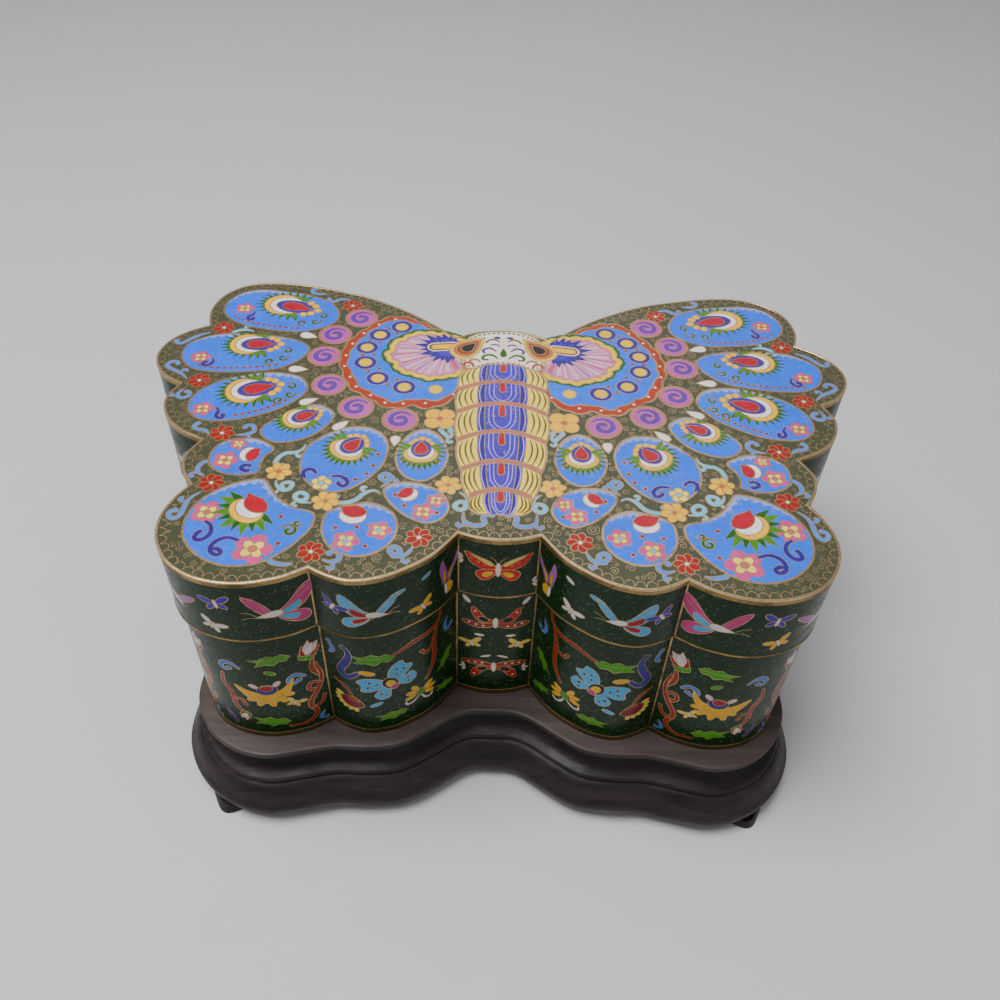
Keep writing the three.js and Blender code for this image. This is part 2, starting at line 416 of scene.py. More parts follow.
# The lid's picture. Every shape is drawn for the right wing and turned over for the left.
panels = [
    {"edge": [(81.2, 86.5), (82.5, 92.5), (87, 99.4), (97.2, 105), (109, 107.6), (122, 109), (132, 105.5),
              (137.5, 97), (138, 89), (133.5, 82), (124, 76.5), (112, 73.8), (99, 72.8), (89, 76.2),
              (83, 81.2)],
     "eye": (104, 94.5, 13.7, 19.3, 5.3), "dots": (9, 12)},
    {"edge": [(91, 59), (92.8, 53), (96, 48.5), (103, 43), (115, 40), (129, 38.7), (140, 40.3), (146, 45),
              (149, 52), (148, 59.5), (143, 64.5), (134, 68.8), (119, 69.6), (106, 68), (96, 64.6)],
     "eye": (115.2, 61.5, -4, 16.7, 4.9), "dots": (3, 6)},
    {"edge": [(87, 28.7), (90, 35.6), (96.5, 39), (107, 39.7), (117.5, 36.5), (126.5, 32.2), (133.3, 25.5),
              (136.4, 18), (135.5, 11), (131, 6), (124.5, 4.2), (114, 5.4), (104, 9.7), (95, 15.8), (89, 23)],
     "eye": (109.3, 27.6, -20, 17.2, 5.4), "dots": (11, 14)},
    {"edge": [(72.6, 11), (77, 16.2), (82.7, 17.4), (90, 14), (96, 8.2), (100.8, 2.6), (101.8, -2),
              (98.8, -6.3), (93.5, -8.3), (86.8, -7), (80.5, -3.5), (75.2, 3)],
     "eye": (85, 9.6, -30, 12, 4.0), "dots": None},
    {"edge": [(47.3, -12), (48.6, -20), (52.3, -27), (57.2, -32.5), (63, -36.2), (70.5, -36.5), (76.9, -32),
              (81, -25.5), (82, -18), (80.5, -10.5), (76.3, -4.5), (70.8, 0), (64.5, 3.2), (57, 3.2),
              (50.8, -0.5), (48, -6)],
     "eye": (62.3, -8.5, -54, 11.5, 4.7), "dots": None,
     "hooks": [[(68.3, -28), (64.3, -27.3), (60.7, -30.7), (62.3, -34), (64.3, -32.7)],
               [(74.3, -26.7), (76.3, -23.7), (79.7, -24.7), (79.6, -27.6)]],
     "flowers": [(71.6, -32, 4.2, "cream", "sky")], "spots": [(51, -13.7), (52.3, -20.7), (54.3, -25.7),
                                                              (58.3, -29.3)]},
    {"edge": [(32.5, 3.2), (27, 0), (23.6, -6.5), (22.3, -14.5), (24.5, -22.5), (29, -27.6), (33.5, -28.8),
              (39, -26.2), (42.6, -20), (43.6, -12), (41.3, -4), (37.5, 1)],
     "eye": (33.5, -9.2, -90, 10.7, 4.3), "dots": None, "spots": [(26.3, -17.5), (40.2, -17.2)]},
    {"edge": [(94, -12.8), (97, -9.3), (103.5, -6.4), (112.5, -7.4), (118, -12.2), (119.2, -18.8),
              (117, -24.8), (110.5, -28.5), (104, -28.8), (97.8, -26.8), (97.9, -22), (96.8, -17)],
     "moon": (102.8, -16.5, 10, 3.6, False), "flowers": [(112.4, -20.4, 4.6, "pink", "dusty"),
                                                         (109.2, -10.2, 3.2, "pink", "cream")],
     "hooks": [[(101, -23.4), (104, -22.6), (105.6, -25), (103.4, -26.2)]]},
    {"edge": [(71.3, -50.5), (71.8, -56.5), (75.2, -63), (80, -69.4), (87, -75), (94, -77.1), (101, -77),
              (108, -74.5), (114, -69.8), (118.3, -63.5), (119.8, -56), (118.8, -48.5), (115, -41.5),
              (108.5, -35.5), (101, -31.8), (94.5, -31), (91.5, -35), (87, -41.3), (80, -46.3), (74, -48)],
     "moon": (95.6, -46.2, -50, 5.2, True), "flowers": [(91.4, -68.6, 6.6, "pink", "dusty"),
                                                        (112.6, -50.4, 5.4, "pink", "dusty")],
     "hooks": [[(97, -64.7), (102.3, -62.7), (106.7, -66), (107, -70.7), (103.7, -72.6), (102, -70.7),
                (104, -69.3)],
               [(112.3, -55), (109, -57.3), (108.3, -62), (111.4, -65.4), (114.4, -64.4), (113.6, -61.6)]],
     "scroll": [(79.7, -58.7)], "spots": [(84, -51.5), (82.5, -65.5), (103, -56.5), (106.5, -42.5)]},
    {"edge": [(51.5, -42.3), (45, -44.6), (40.8, -49), (39.3, -55.8), (40.7, -62.3), (45, -67.6),
              (51.5, -70.5), (58, -69.8), (63.5, -66), (67, -60), (67.8, -53.5), (66.8, -48.5), (62, -45),
              (57, -43.6)],
     "moon": (56.6, -48.2, -84, 4.4, False),
     "flowers": [(45.8, -57, 4.2, "pink", "sky"), (57.8, -63, 4.6, "pink", "sky")],
     "spots": [(54.5, -55.6), (50.2, -65.3), (62.6, -56.4)]},
    {"edge": [(30.2, -31.2), (37.2, -30), (43.3, -31), (46.3, -34.5), (44.9, -39.3), (41, -44.5), (36, -49),
              (30, -51.9), (25, -51.3), (21.3, -47.5), (20.4, -42), (23.8, -35.2)],
     "moon": (37, -36.4, -140, 3.3, False), "flowers": [(25.4, -39.8, 3.4, "pink", "dusty"),
                                                        (30, -46.2, 4.0, "pink", "dusty")],
     "spots": [(37.6, -43.2), (41.6, -37.2), (24.6, -46.6)]}]
roundels = [(44, 9.3), (64, 16.7), (78, 32.2), (83.3, 53.8), (80.8, 71.5), (70, 86.4)]
drops = [(44.8, -4.8, 90, 6.8, 2.2), (68.7, 4.3, -47, 8.8, 2.3), (85, 20, -28, 9, 2.3),
         (93.5, 43, 0, 9.3, 2.5), (93, 69.8, 15, 9, 2.6)]
yellowFlowers = [(27, 10.9, 6.6, 4), (21, -30.8, 4.8, 6), (89.6, -26, 4.8, 6), (68.4, -42.1, 5.0, 6)]
redFlowers = [(30.5, -60), (69.8, -69), (114.8, -34), (117.6, -3.6), (136, 32), (134.6, 74), (75.8, 97.2)]
curls = [
    ("sky", [(16.3, -34.7), (13, -37.3), (12.3, -42), (15.7, -45.3), (18.3, -42.7), (17, -40.7)]),
    ("peri", [(14.3, -46), (14.3, -50.7), (10.3, -53.3), (5.5, -52), (6.5, -49)]),
    ("peri", [(32.3, -64.7), (34.3, -69.3), (38.3, -70), (41.3, -67.3), (39.7, -64.7), (37.7, -66)]),
    ("peri", [(65, -72.7), (61.7, -74), (58.7, -72.7), (59, -70)]),
    ("peri", [(75.5, -75), (79, -76), (83, -75)]),
    ("sky", [(47.7, -36.7), (50.3, -34.7), (54.3, -37.3), (56.3, -40.7), (59, -42.4), (63, -43)]),
    ("sky", [(73.7, -43.3), (78.3, -43.3), (81.3, -40), (79, -37.3), (76.7, -38.7)]),
    ("peri", [(47.7, -33.3), (45.2, -30.6), (44.7, -26.7), (46.2, -24.7), (49, -26.7), (47.7, -28.7)]),
    ("sky", [(81.5, -9), (82.3, -12.6), (85.7, -14.7), (88.3, -14.3), (91.3, -17.3), (92, -20.7)]),
    ("sky", [(89.7, -31.3), (89, -34.7), (85.7, -37.3), (83.3, -36), (82.6, -32.7), (84.6, -32.2)]),
    ("peri", [(111.7, -4.6), (107, -4), (104.3, -1.9), (105, 0.9)]),
    ("peri", [(122.6, -4.6), (125, -2), (128.5, -1.6)]),
    ("peri", [(117.4, -39.3), (121, -42.7), (121.9, -46.7), (122, -52), (124.3, -55), (126.3, -53.3)]),
    ("peri", [(118.5, -30.2), (121.9, -28.3), (122.4, -24.7), (121, -22.3)]),
    ("peri", [(141.2, 25.4), (143.5, 21.5), (141, 18.5), (138.4, 20)]),
    ("peri", [(141.7, 32.9), (145.7, 37.4), (151, 40), (153.6, 42.3), (152.4, 44.8)]),
    ("sky", [(119.6, 71.6), (123, 73.2), (127.2, 72.4), (129, 70.6)]),
    ("peri", [(139.9, 69.7), (145.5, 66.6), (150.6, 60.4)]),
    ("peri", [(76.7, 101.8), (82, 103.4), (85, 100.6)]),
    ("peri", [(90, 106.9), (94.4, 106.9), (96.6, 107.6)]),
    ("sky", [(22.3, 3.2), (20.9, 0.6), (22.1, -2), (24.6, 1.2), (26.6, 3.7), (25, 5)])]
fanEdge = [(19.3, 44.2), (23.5, 41.6), (29.3, 40), (34.5, 38.9), (38.6, 40.8), (44, 42.6), (48.5, 45.5),
           (50.8, 50.3), (54.2, 54), (54.8, 58), (52.8, 62), (52.9, 66.2), (50, 69.5), (46.2, 72.8),
           (42, 75.7), (36, 76.3), (30.8, 76), (27, 75.3), (18, 70), (15, 60), (15.5, 50)]
fanBlue = [(20.5, 34.5), (24.5, 27.5), (30, 24), (36.5, 24.5), (42, 23.8), (48.5, 21.8), (54, 25.3),
           (60, 29.3), (65, 33.8), (67.5, 40), (70.8, 46.5), (71.5, 53.5), (70.5, 61), (68, 68), (64.5, 74.5),
           (60.5, 80), (55.5, 84.5), (50, 85.5), (43, 82.8), (37, 79.6), (30, 75), (20, 68), (15, 55),
           (17, 42)]
fanRed = [(19, 33.5), (22.8, 25), (28.5, 20), (33.8, 18.3), (40, 19.9), (45.8, 17.8), (51, 18), (56, 21.5),
          (61, 25.5), (66.5, 29.3), (70, 35), (72.8, 42), (75, 50), (75, 58), (73.5, 65), (70, 72), (65, 79),
          (59.5, 85.6), (54, 88.5), (48, 88), (42, 85), (36, 81), (28, 74), (18, 66), (14, 54), (15, 42)]
fanDots = [(30.1, 31.4), (44.3, 32.3), (56.8, 38.2), (63.8, 49.9), (64.4, 61.9), (59.4, 72.7), (49.6, 80)]
borderDots = [(22, 28.3), (27.5, 25), (34, 21.4), (43.7, 20.4), (51.7, 20.6), (58.6, 25.6), (65.7, 31.5),
              (69.4, 38.6), (73, 46.5), (73.4, 55), (71.6, 64.5), (67.4, 73.5), (61, 81.4), (53.4, 86.7)]
bodyJoints = [53.6, 39.2, 23.2, 4, -15.2, -32.2, -46.5]
bodyHalf = [18.2, 19.6, 19.4, 18.6, 16.0, 12.2, 8.6]


def flower(art, put, radius, petals, petalTint, heart, start=0.0, petalWide=0.5, wire=0.45, core=0.3):
    for i in range(petals):
        a = turn * i / petals + start
        c, s = math.cos(a), math.sin(a)
        loop = ellipseLoop(radius * 0.56, 0, radius * 0.44,
                           radius * petalWide * (0.86 if petals < 6 else 0.62), 0, 18)
        art.cell(put([(u * c - v * s, u * s + v * c) for u, v in loop]), petalTint, wire)
    art.cell(put(ellipseLoop(0, 0, radius * core, radius * core, 0, 14)), heart, wire)


def roseFlower(art, put, radius, outer, inner, heart):
    for i in range(5):
        a = turn * i / 5 + 0.3
        art.cell(put(ellipseLoop(radius * 0.6 * math.cos(a), radius * 0.6 * math.sin(a), radius * 0.45,
                                 radius * 0.42,
                                 math.degrees(a), 18)), outer, 0.4)
    art.fill(put(ellipseLoop(0, 0, radius * 0.55, radius * 0.55, 0, 16)), outer)
    for i in range(4):
        a = turn * i / 4 + 0.5
        art.cell(put(ellipseLoop(radius * 0.36 * math.cos(a), radius * 0.36 * math.sin(a), radius * 0.32,
                                 radius * 0.26,
                                 math.degrees(a), 14)), inner, 0.35)
    art.cell(put(ellipseLoop(0, 0, radius * 0.24, radius * 0.24, 0, 12)), heart, 0.35)


def eyeSpot(art, x, y, deg, length, half, side):
    put = placer(x, y, deg, 1.0, side)
    for ring, count, reach in ((0, 17, 1.0), (1, 16, 0.84)):  # dense green blades round the far end
        for i in range(count):
            a = math.radians(-122 + 244 * (i + 0.5) / count)
            long, wide = (length * 0.68 + 5.6) * reach, (half * 1.64 + 4.4) * reach
            u = length * 0.12
            tip = (u + long * math.cos(a), wide * math.sin(a))
            mid = (u + long * 0.66 * math.cos(a), wide * 0.66 * math.sin(a))
            away = math.hypot(*mid) or 1
            nx, ny = -(mid[1]) / away * half * 0.27, (mid[0] - u) / away * half * 0.27
            art.cell(put([(u, 0), (mid[0] - nx, mid[1] - ny), tip, (mid[0] + nx, mid[1] + ny)]),
                     "deepLeaf" if ring == 0 else "leaf", 0.24)
    art.cell(put(ellipseLoop(length * 0.33, 0, length * 0.48, half * 1.64, 0, 34)), "yellow", 0.45)
    art.cell(put(ellipseLoop(length * 0.2, 0, length * 0.46, half * 1.34, 0, 32)), "white", 0.45)
    art.cell(put(ellipseLoop(0, 0, length * 0.5, half, 0, 32)), "violet", 0.45)
    art.cell(put(dropLoop(-length * 0.46, length * 0.33, half * 0.66, 26)), "red", 0.4)
    for u, v, tilt in ((-0.34, 0.98, 130), (-0.5, 0.62, 150), (-0.62, 0.0, 180), (-0.5, -0.62, 210),
                       (-0.34, -0.98, 230)):
        k, m = math.cos(math.radians(tilt)), math.sin(math.radians(tilt))
        loop = ellipseLoop(0, 0, length * 0.1, half * 0.34, 0, 16)
        art.cell(put([(u * length + p * k - q * m, v * half + p * m + q * k) for p, q in loop]), "yellow",
                 0.35)


def moonEye(art, x, y, deg, size, full, side):
    put = placer(x, y, deg, 1.0, side)
    if full:
        for i in range(11):
            a = math.radians(-92 + 18.4 * i)
            reach = size * (2.95 if i % 2 else 2.6)
            nx, ny = -math.sin(a) * 0.32 * size, math.cos(a) * 0.32 * size
            mid = (reach * 0.62 * math.cos(a) + size * 0.3, reach * 0.62 * math.sin(a))
            art.cell(put([(0, 0), (mid[0] - nx, mid[1] - ny),
                          (reach * math.cos(a) + size * 0.3, reach * math.sin(a)),
                          (mid[0] + nx, mid[1] + ny)]), "leaf" if i % 2 else "deepLeaf", 0.3)
        art.cell(put(ellipseLoop(size * 0.66, 0, size * 1.16, size * 1.45, 0, 26)), "yellow", 0.45)
    art.cell(put(ellipseLoop(size * 0.32, 0, size * 0.98, size * 1.2, 0, 24)), "white", 0.45)
    bowl = [(size * (0.96 * math.cos(math.radians(d)) - 0.42), size * 1.14 * math.sin(math.radians(d)))
            for d in range(-84, 85, 12)]
    back = [(-size * 0.62, size * 1.42), (-size * 0.78, size * 0.7), (-size * 0.98, 0),
            (-size * 0.78, -size * 0.7)]
    art.cell(put(bowl + back), "red", 0.45)  # a red bud in the crescent, drawn out to a point


def wingPanel(whole, panel, side):
    edge = [(side * x, y) for x, y in closedSpline(panel["edge"], 1.3)]
    art = whole.region(offsetLoop(edge, 0.5, False))
    art.onWing = True
    art.fill(offsetLoop(edge, -0.5, False), "blue", 1.0)
    whole.areas.append(edge)
    edgeRun = closedSpline(panel["edge"], 1.3)
    back = max(range(len(edgeRun)), key=lambda i: edgeRun[i][1] + 0.3 * abs(edgeRun[i][0] - 40) / 40)
    edgeRun = edgeRun[back:] + edgeRun[:back]
    reach = len(edgeRun) // 5
    outer = edgeRun[-reach:] + edgeRun[:reach]
    deep = offsetLoop(edgeRun, -3.4, False)
    inner = deep[-reach:] + deep[:reach]
    soft = []
    for i, (p, q) in enumerate(zip(outer, inner)):
        share = (0.7 + 0.3 * math.sin(i * 1.9)) * math.sin(math.pi * (i + 0.5) / len(outer))
        soft.append((p[0] + (q[0] - p[0]) * share, p[1] + (q[1] - p[1]) * share))
    near = offsetLoop(edgeRun, -0.5, False)
    art.fill([(side * x, y) for x, y in near[-reach:] + near[:reach] + soft[::-1]], "mist", 1.0)
    for i in range(3, len(soft) - 3, 4):  # fine scrolls of bare wire
        art.line([(side * x, y) for x, y in spiralLine(soft[i][0], soft[i][1], 1.5, 1.3, i * 0.9, 1)], 0.24)
    mid = (sum(x for x, _ in panel["edge"]) / len(panel["edge"]),
           sum(y for _, y in panel["edge"]) / len(panel["edge"]))
    for x, y in panel.get("spots", ()):
        art.cell(ellipseLoop(side * x, y, 0.95, 0.95, 0, 10), "wine", 0.4)
    for x, y in panel.get("scroll", ()):
        art.band([(side * p, q) for p, q in spiralLine(x, y, 3.4, 1.25, 0.4)], 1.5, "deepLeaf", 0.4, 0.9,
                 0.35)
        art.band([(side * p, q) for p, q in spiralLine(x - 2.6, y + 4.2, 2.0, 0.9, 3.4)], 1.2, "deepLeaf",
                 0.4, 0.9, 0.35)
    for x, y, size, petal, heart in panel.get("flowers", ()):
        if petal == "pink":
            roseFlower(art, placer(x, y, 20, 1.0, side), size * 1.12, "pink", "cream", heart)
        else:
            flower(art, placer(x, y, 20, 1.0, side), size, 5, petal, heart)
    for hook in panel.get("hooks", ()):
        art.band([(side * p, q) for p, q in curlOn(softLine(hook, 0.8), 2.0, 0.16, 0.6)], 2.1, "indigo", 0.7,
                 1.0, 0.35, 0.5, 0.35)
    if "moon" in panel:
        moonEye(art, *panel["moon"], side)
    if "eye" in panel:
        x, y, deg, length, half = panel["eye"]
        eyeSpot(art, x, y, deg, length, half, side)
        if panel["dots"]:  # a row of small red dots below, small curls and a flower
            edgeIn = offsetLoop(closedSpline(panel["edge"], 0.6), -3.1, False)
            first, last = panel["dots"]
            a, b = panel["edge"][first], panel["edge"][last]
            start = min(range(len(edgeIn)), key=lambda i: math.dist(edgeIn[i], a))
            end = min(range(len(edgeIn)), key=lambda i: math.dist(edgeIn[i], b))
            run = edgeIn[start:end] if start < end else edgeIn[start:] + edgeIn[:end]
            for px, py in resample(run, 2.9):
                art.cell(ellipseLoop(side * px, py, 0.8, 0.8, 0, 9), "deepRed", 0.35)
            c, s = math.cos(math.radians(deg)), math.sin(math.radians(deg))
            px, py = mid[0] + c * 19.5 - s * -3.5, mid[1] + s * 19.5 + c * -3.5
            roseFlower(art, placer(px, py, 10, 1.0, side), 4.6, "pink", "cream", "dusty")
            hook = [(px - c * 5.6 + s * 0.6, py - s * 5.6 - c * 0.6),
                    (px - c * 6.6 + s * 3.4, py - s * 6.6 - c * 3.4),
                    (px - c * 5.0 + s * 5.8, py - s * 5.0 - c * 5.8)]
            art.band([(side * p, q) for p, q in curlOn(softLine(hook, 0.8), 2.2, 0.7)], 1.9, "indigo", 0.4,
                     0.95, 0.35, 0.5, 0.6)
            for along, down, start in ((19.5, -1.5, 0.6), (18, 4.2, 2.4), (12.5, 7.0, 4.2)):
                qx, qy = mid[0] - c * along + s * down, mid[1] - s * along - c * down
                if insideLoop((qx, qy), offsetLoop(panel["edge"], -2.2, False)):
                    art.band([(side * p, q) for p, q in spiralLine(qx, qy, 2.7, 1.1, start)], 1.2, "deepLeaf",
                             0.4, 0.9, 0.3)


def roundel(whole, x, y, side):
    art = whole.region(ellipseLoop(side * x, y, 8.1, 8.1, 0, 40))
    art.fill(ellipseLoop(side * x, y, 7.7, 7.7, 0, 40), "dusty", 0.3)
    art.cell(ellipseLoop(side * x, y, 6.9, 6.9, 0, 40), "orchid", 0.35)
    whole.areas.append(ellipseLoop(side * x, y, 8, 8, 0, 24))
    start = 2.6 if side > 0 else math.pi - 2.6
    art.fill(strokeLoop(spiralLine(side * x, y, 5.6, 1.35, start, -side, 0.12), 2.7, 0.25, 1.0), "plum")
    art.line(spiralLine(side * x, y, 4.1, 1.1, start, -side, 0.2), 0.28)


def fan(whole, side):
    def put(loop):
        return [(side * x, y) for x, y in loop]
    red = wavyLoop(closedSpline(fanRed, 0.9), 1.0, 9.5)
    art = whole.region(put(offsetLoop(red, 0.45, False)))
    art.fill(put(offsetLoop(red, -0.45, False)), "brick")
    whole.areas.append(put(red))
    fine = whole.region(put(offsetLoop(closedSpline(fanEdge, 1.1), 2.35, False)))
    for x, y in borderDots:
        art.cell(ellipseLoop(side * x, y, 0.75, 0.75, 0, 9), "white", 0.3)
    art.cell(put(wavyLoop(closedSpline(fanBlue, 0.9), 0.9, 9.5)), "blue", 0.8, 1.0)
    for i, (x, y) in enumerate(fanDots):
        if i:
            art.cell(ellipseLoop(side * x, y, 5.2, 5, 0, 24), "indigo", 0.4)
        art.cell(ellipseLoop(side * x, y, 3.1, 3.1, 0, 20), "yellowCream", 0.45)
    for a, b in zip(fanDots[1:], fanDots[2:]):  # a small curl between the dots, and small ones outside
        x, y = (a[0] + b[0]) / 2, (a[1] + b[1]) / 2
        d = math.hypot(x - 27, y - 58)
        ux, uy = (x - 27) / d, (y - 58) / d
        art.band(put(spiralLine(x + ux * 2.4, y + uy * 2.4, 1.8, 0.9, 0.6)), 0.9, "indigo", 0.6, 0.9, 0.35)
        art.cell(ellipseLoop(side * (x - ux * 3.6), y - uy * 3.6, 0.9, 0.9, 0, 9), "wine", 0.3)
    edge = wavyLoop(closedSpline(fanEdge, 0.8), 1.1, 6.2)
    art.cover(fine.loops[0])
    art = fine
    art.fill(put(offsetLoop(edge, 1.7, False)), "deepLeaf")
    art.cell(put(edge), "yellowCream", 0.6)
    inner = offsetLoop(edge, -2.6, False)
    art.cell(put(inner), "rose", 0.5)
    art.fill(put(offsetLoop(edge, -4.0, False)), "shell")
    centre = (27, 62)
    count = len(inner)
    for k in range(0, count, 3):  # pleats, in turn pale and pink
        p, q = inner[k], inner[(k + 1) % count]
        if p[0] > 18:
            a = (centre[0] + (p[0] - centre[0]) * 0.94, centre[1] + (p[1] - centre[1]) * 0.94)
            b = (centre[0] + (q[0] - centre[0]) * 0.94, centre[1] + (q[1] - centre[1]) * 0.94)
            art.fill(put([centre, a, b]), ("pink", "lilac", "rose")[k % 9 // 3], 0.3)
            art.line(put([centre, p]), 0.28)
    for k, tint in ((0, "indigo"), (1, "bodyBlue")):  # violet flames round the club
        for i, reach in enumerate((11, 14, 12.5, 15, 14, 18, 17, 20, 18, 19, 15, 15, 12, 11)):
            flame = placer(centre[0] - 2, centre[1] + 1.5, -100 + 15.5 * i, 1.0, side)
            art.fill(flame(dropLoop(reach * (0.9 - 0.28 * k), -1, 2.6 - 1.3 * k, 20)), tint)
    for size, tint in ((3.9, "white"), (3.0, "brown"), (2.0, "yellowCream")):
        bar = [(math.cos(math.radians(d)) * size + (8.2 if abs(d) < 90 else 0),
                math.sin(math.radians(d)) * size * 0.92)
               for d in list(range(-80, 81, 16)) + list(range(100, 261, 16))]
        art.cell(placer(24.2, 65.4, -8, 1.0, side)(bar), tint, 0.35)


def arcAcross(y, half, sag, count=18):
    return [(half * (2 * i / count - 1), y - sag * (2 * i / count - 1) ** 2) for i in range(count + 1)]


def body(whole):
    for i in range(6):
        top, low = bodyJoints[i], bodyJoints[i + 1]
        upper, lower = bodyHalf[i], bodyHalf[i + 1]
        drop = 0.36 * max(upper, lower) * (1.02 if i < 5 else 0.98)

        def across(share, t, top=top, low=low, upper=upper, lower=lower, drop=drop, last=i == 5):
            bulge = 1.9 * math.sin(math.pi * min(1, t * 0.96 + 0.02)) ** 0.7
            half = (upper + (lower - upper) * t) * 0.97 + bulge
            sag = drop * share * share * (min(1, (1 - t) * 2) if last else 1)
            sag += 0 if last else 2.2 * t ** 6 * share ** 4
            return half * share, top + (low - top) * t - sag
        ends = [k / 8 for k in range(9)]
        shares = [k / 10 - 1 for k in range(21)]

        def barrel(share):
            right = [across(share, t) for t in ends]
            head = [across(share * k / 10, 0) for k in range(-10, 10)]
            tail = [across(share * k / 10, 1) for k in range(9, -10, -1)]
            left = [across(-share, t) for t in ends[::-1]]
            return head + right + tail + left[:-1]
        loop = barrel(1.0)
        art = whole.region(offsetLoop(loop, 0.45, False))
        art.fill(offsetLoop(loop, -0.45, False), "cream")
        whole.areas.append(loop)
        for side in (1, -1):
            for share in (0.64, 0.76, 0.88):  # ribs that bow out as staves do
                rib = [(p[0] + side * 0.9 * math.sin(math.pi * t), p[1]) for t in ends
                       for p in [across(side * share, 0.12 + 0.76 * t)]]
                art.fill(strokeLoop(rib, 0.85, 0.5, 0.5), "olive", 0.2)
        art.cell(barrel(0.54), "indigo", 0.5)
        for share in (0.46, -0.46):
            art.fill(strokeLoop([(p[0] + share * 1.6 * math.sin(math.pi * t), p[1]) for t in ends
                                 for p in [across(share, t)]], 0.5),
                     "bodyLine", 0.2)
        inner = barrel(0.38)
        art.cell(inner, "bodyBlue", 0.4, 3.0)
        for share in (0.29, 0.19):  # U-shaped lines round the red drop
            run = [across(-share, t * 0.5) for t in ends]
            run += [across(share * math.cos(math.pi * (1 - k / 12)),
                           0.5 + (0.2 + share) * math.sin(math.pi * k / 12)) for k in range(1, 12)]
            run += [across(share, t * 0.5) for t in ends[::-1]]
            art.fill(strokeLoop(run, 0.45, 1, 1), "bodyLine", 0.2)
        reach = (top - low) * 0.4
        tongue = [(1.5 * math.cos(math.radians(d)), top - reach + 1.8 * math.sin(math.radians(d)))
                  for d in range(180, 361, 15)]
        art.cell([(-1.1, top - 0.4)] + tongue + [(1.1, top - 0.4)], "red", 0.4)

    for i in range(6):  # bands between the segments
        half = bodyHalf[i]
        line = arcAcross(bodyJoints[i], half, 7.2 * half / 20)
        band = strokeLoop(line, 2.9)
        whole.over(band)
        whole.fill(band, "wire", 0.2)
        whole.fill(strokeLoop(line, 1.7), "dusty")


def head(whole):
    right = [(0, 52.4), (8, 51.4), (13, 48.4), (17.8, 49.2), (19.8, 53.5), (18.6, 58), (16.4, 62), (16.4, 68),
             (17.2, 72), (13.4, 75.8), (7, 78.6), (0, 79.6)]
    fine = openSpline(right, 1.0)
    loop = fine + [(-x, y) for x, y in fine[-2:0:-1]]
    art = whole.region(offsetLoop(loop, 0.45, False))
    art.fill(offsetLoop(loop, -0.45, False), "white", 0.3)
    whole.areas.append(loop)
    rim = [(x * 0.93, 63 + (y - 63) * 0.9) for x, y in resample(loop, 2.6, True)]
    for x, y in rim:
        art.cell(ellipseLoop(x, y, 0.85, 0.6, 0, 8), "deepLeaf" if y > 62 else "dusty", 0.3)
    for side in (1, -1):
        for points, width, tint in (
                ([(2.5, 56.5), (5.6, 59.4), (9.2, 58.4), (9.4, 55.6), (7, 55.6)], 1.4, "deepLeaf"),
                ([(3.4, 62.4), (6.6, 65), (9.6, 63), (8.8, 60.6)], 1.3, "violet"),
                ([(2, 70.4), (4, 72), (6.8, 71.6), (8.6, 69)], 1.1, "olive"),
                ([(10.6, 53.2), (12.6, 55.4), (15.4, 54.6), (15.4, 52)], 1.3, "dusty"),
                ([(13.6, 49.4), (14.8, 52.4), (18, 52.4), (18, 49.8)], 1.4, "brick"),
                ([(1.6, 66.4), (3.6, 68), (6.2, 67.4)], 1.0, "violet")):
            art.band([(side * x, y) for x, y in openSpline(points, 0.8)], width, tint, 0.5, 0.9, 0.35)
        art.cell(ellipseLoop(side * 3.1, 73.6, 1.7, 1.0, 0, 12), "indigo", 0.3)
    art.cell(placer(0, 61.5, -90)(dropLoop(-3.6, 3.6, 1.6, 20)), "deepLeaf", 0.4)
    for side in (1, -1):
        put = placer(16.4, 65.0, -50, 1.0, side)
        for size, tint in ((1.0, "yellowCream"), (0.8, "orangeBrown"), (0.66, "brown"), (0.42, "black")):
            shape = put(dropLoop(-11.4 * size, 10.2 * size, 6.6 * size, 32))
            if size == 1.0:
                eye = whole.region(offsetLoop(shape, 0.3, False))
            eye.cell(shape, tint, 0.45)


def spirals(art, loop, count, largest, smallest):  # fine wire spirals wherever the ground is bare
    near = kdtree.KDTree(sum(len(a) for a in art.areas) + len(loop))
    n = 0
    for area in art.areas + [loop]:
        for x, y in area:
            near.insert((x, y, 0), n)
            n += 1
    near.balance()
    boxes = [(min(x for x, _ in a), max(x for x, _ in a), min(y for _, y in a), max(y for _, y in a), a)
             for a in art.areas]
    xs, ys = [p[0] for p in loop], [p[1] for p in loop]
    placed = []
    for _ in range(count):
        x, y = random.uniform(min(xs), max(xs)), random.uniform(min(ys), max(ys))
        room = near.find((x, y, 0))[2] - 0.35
        room = min([room] + [math.dist((x, y), p[:2]) - p[2] - 0.35 for p in placed
                             if abs(p[0] - x) < largest * 2 + 1 and abs(p[1] - y) < largest * 2 + 1])
        if room < smallest or not insideLoop((x, y), loop):
            continue
        if any(b[0] <= x <= b[1] and b[2] <= y <= b[3] and insideLoop((x, y), b[4]) for b in boxes):
            continue
        placed.append((x, y, min(room, largest)))
    marks = Inlay()
    for x, y, r in placed:
        marks.line(spiralLine(x, y, r, 2.0 if r > 2.2 else 1.55 if r > 1.3 else 1.2, random.uniform(0, turn),
                              random.choice((1, -1))), 0.26)
    art.loops[art.groundCount:art.groundCount] = marks.loops
    art.paints[art.groundCount:art.groundCount] = marks.paints
    return len(placed)


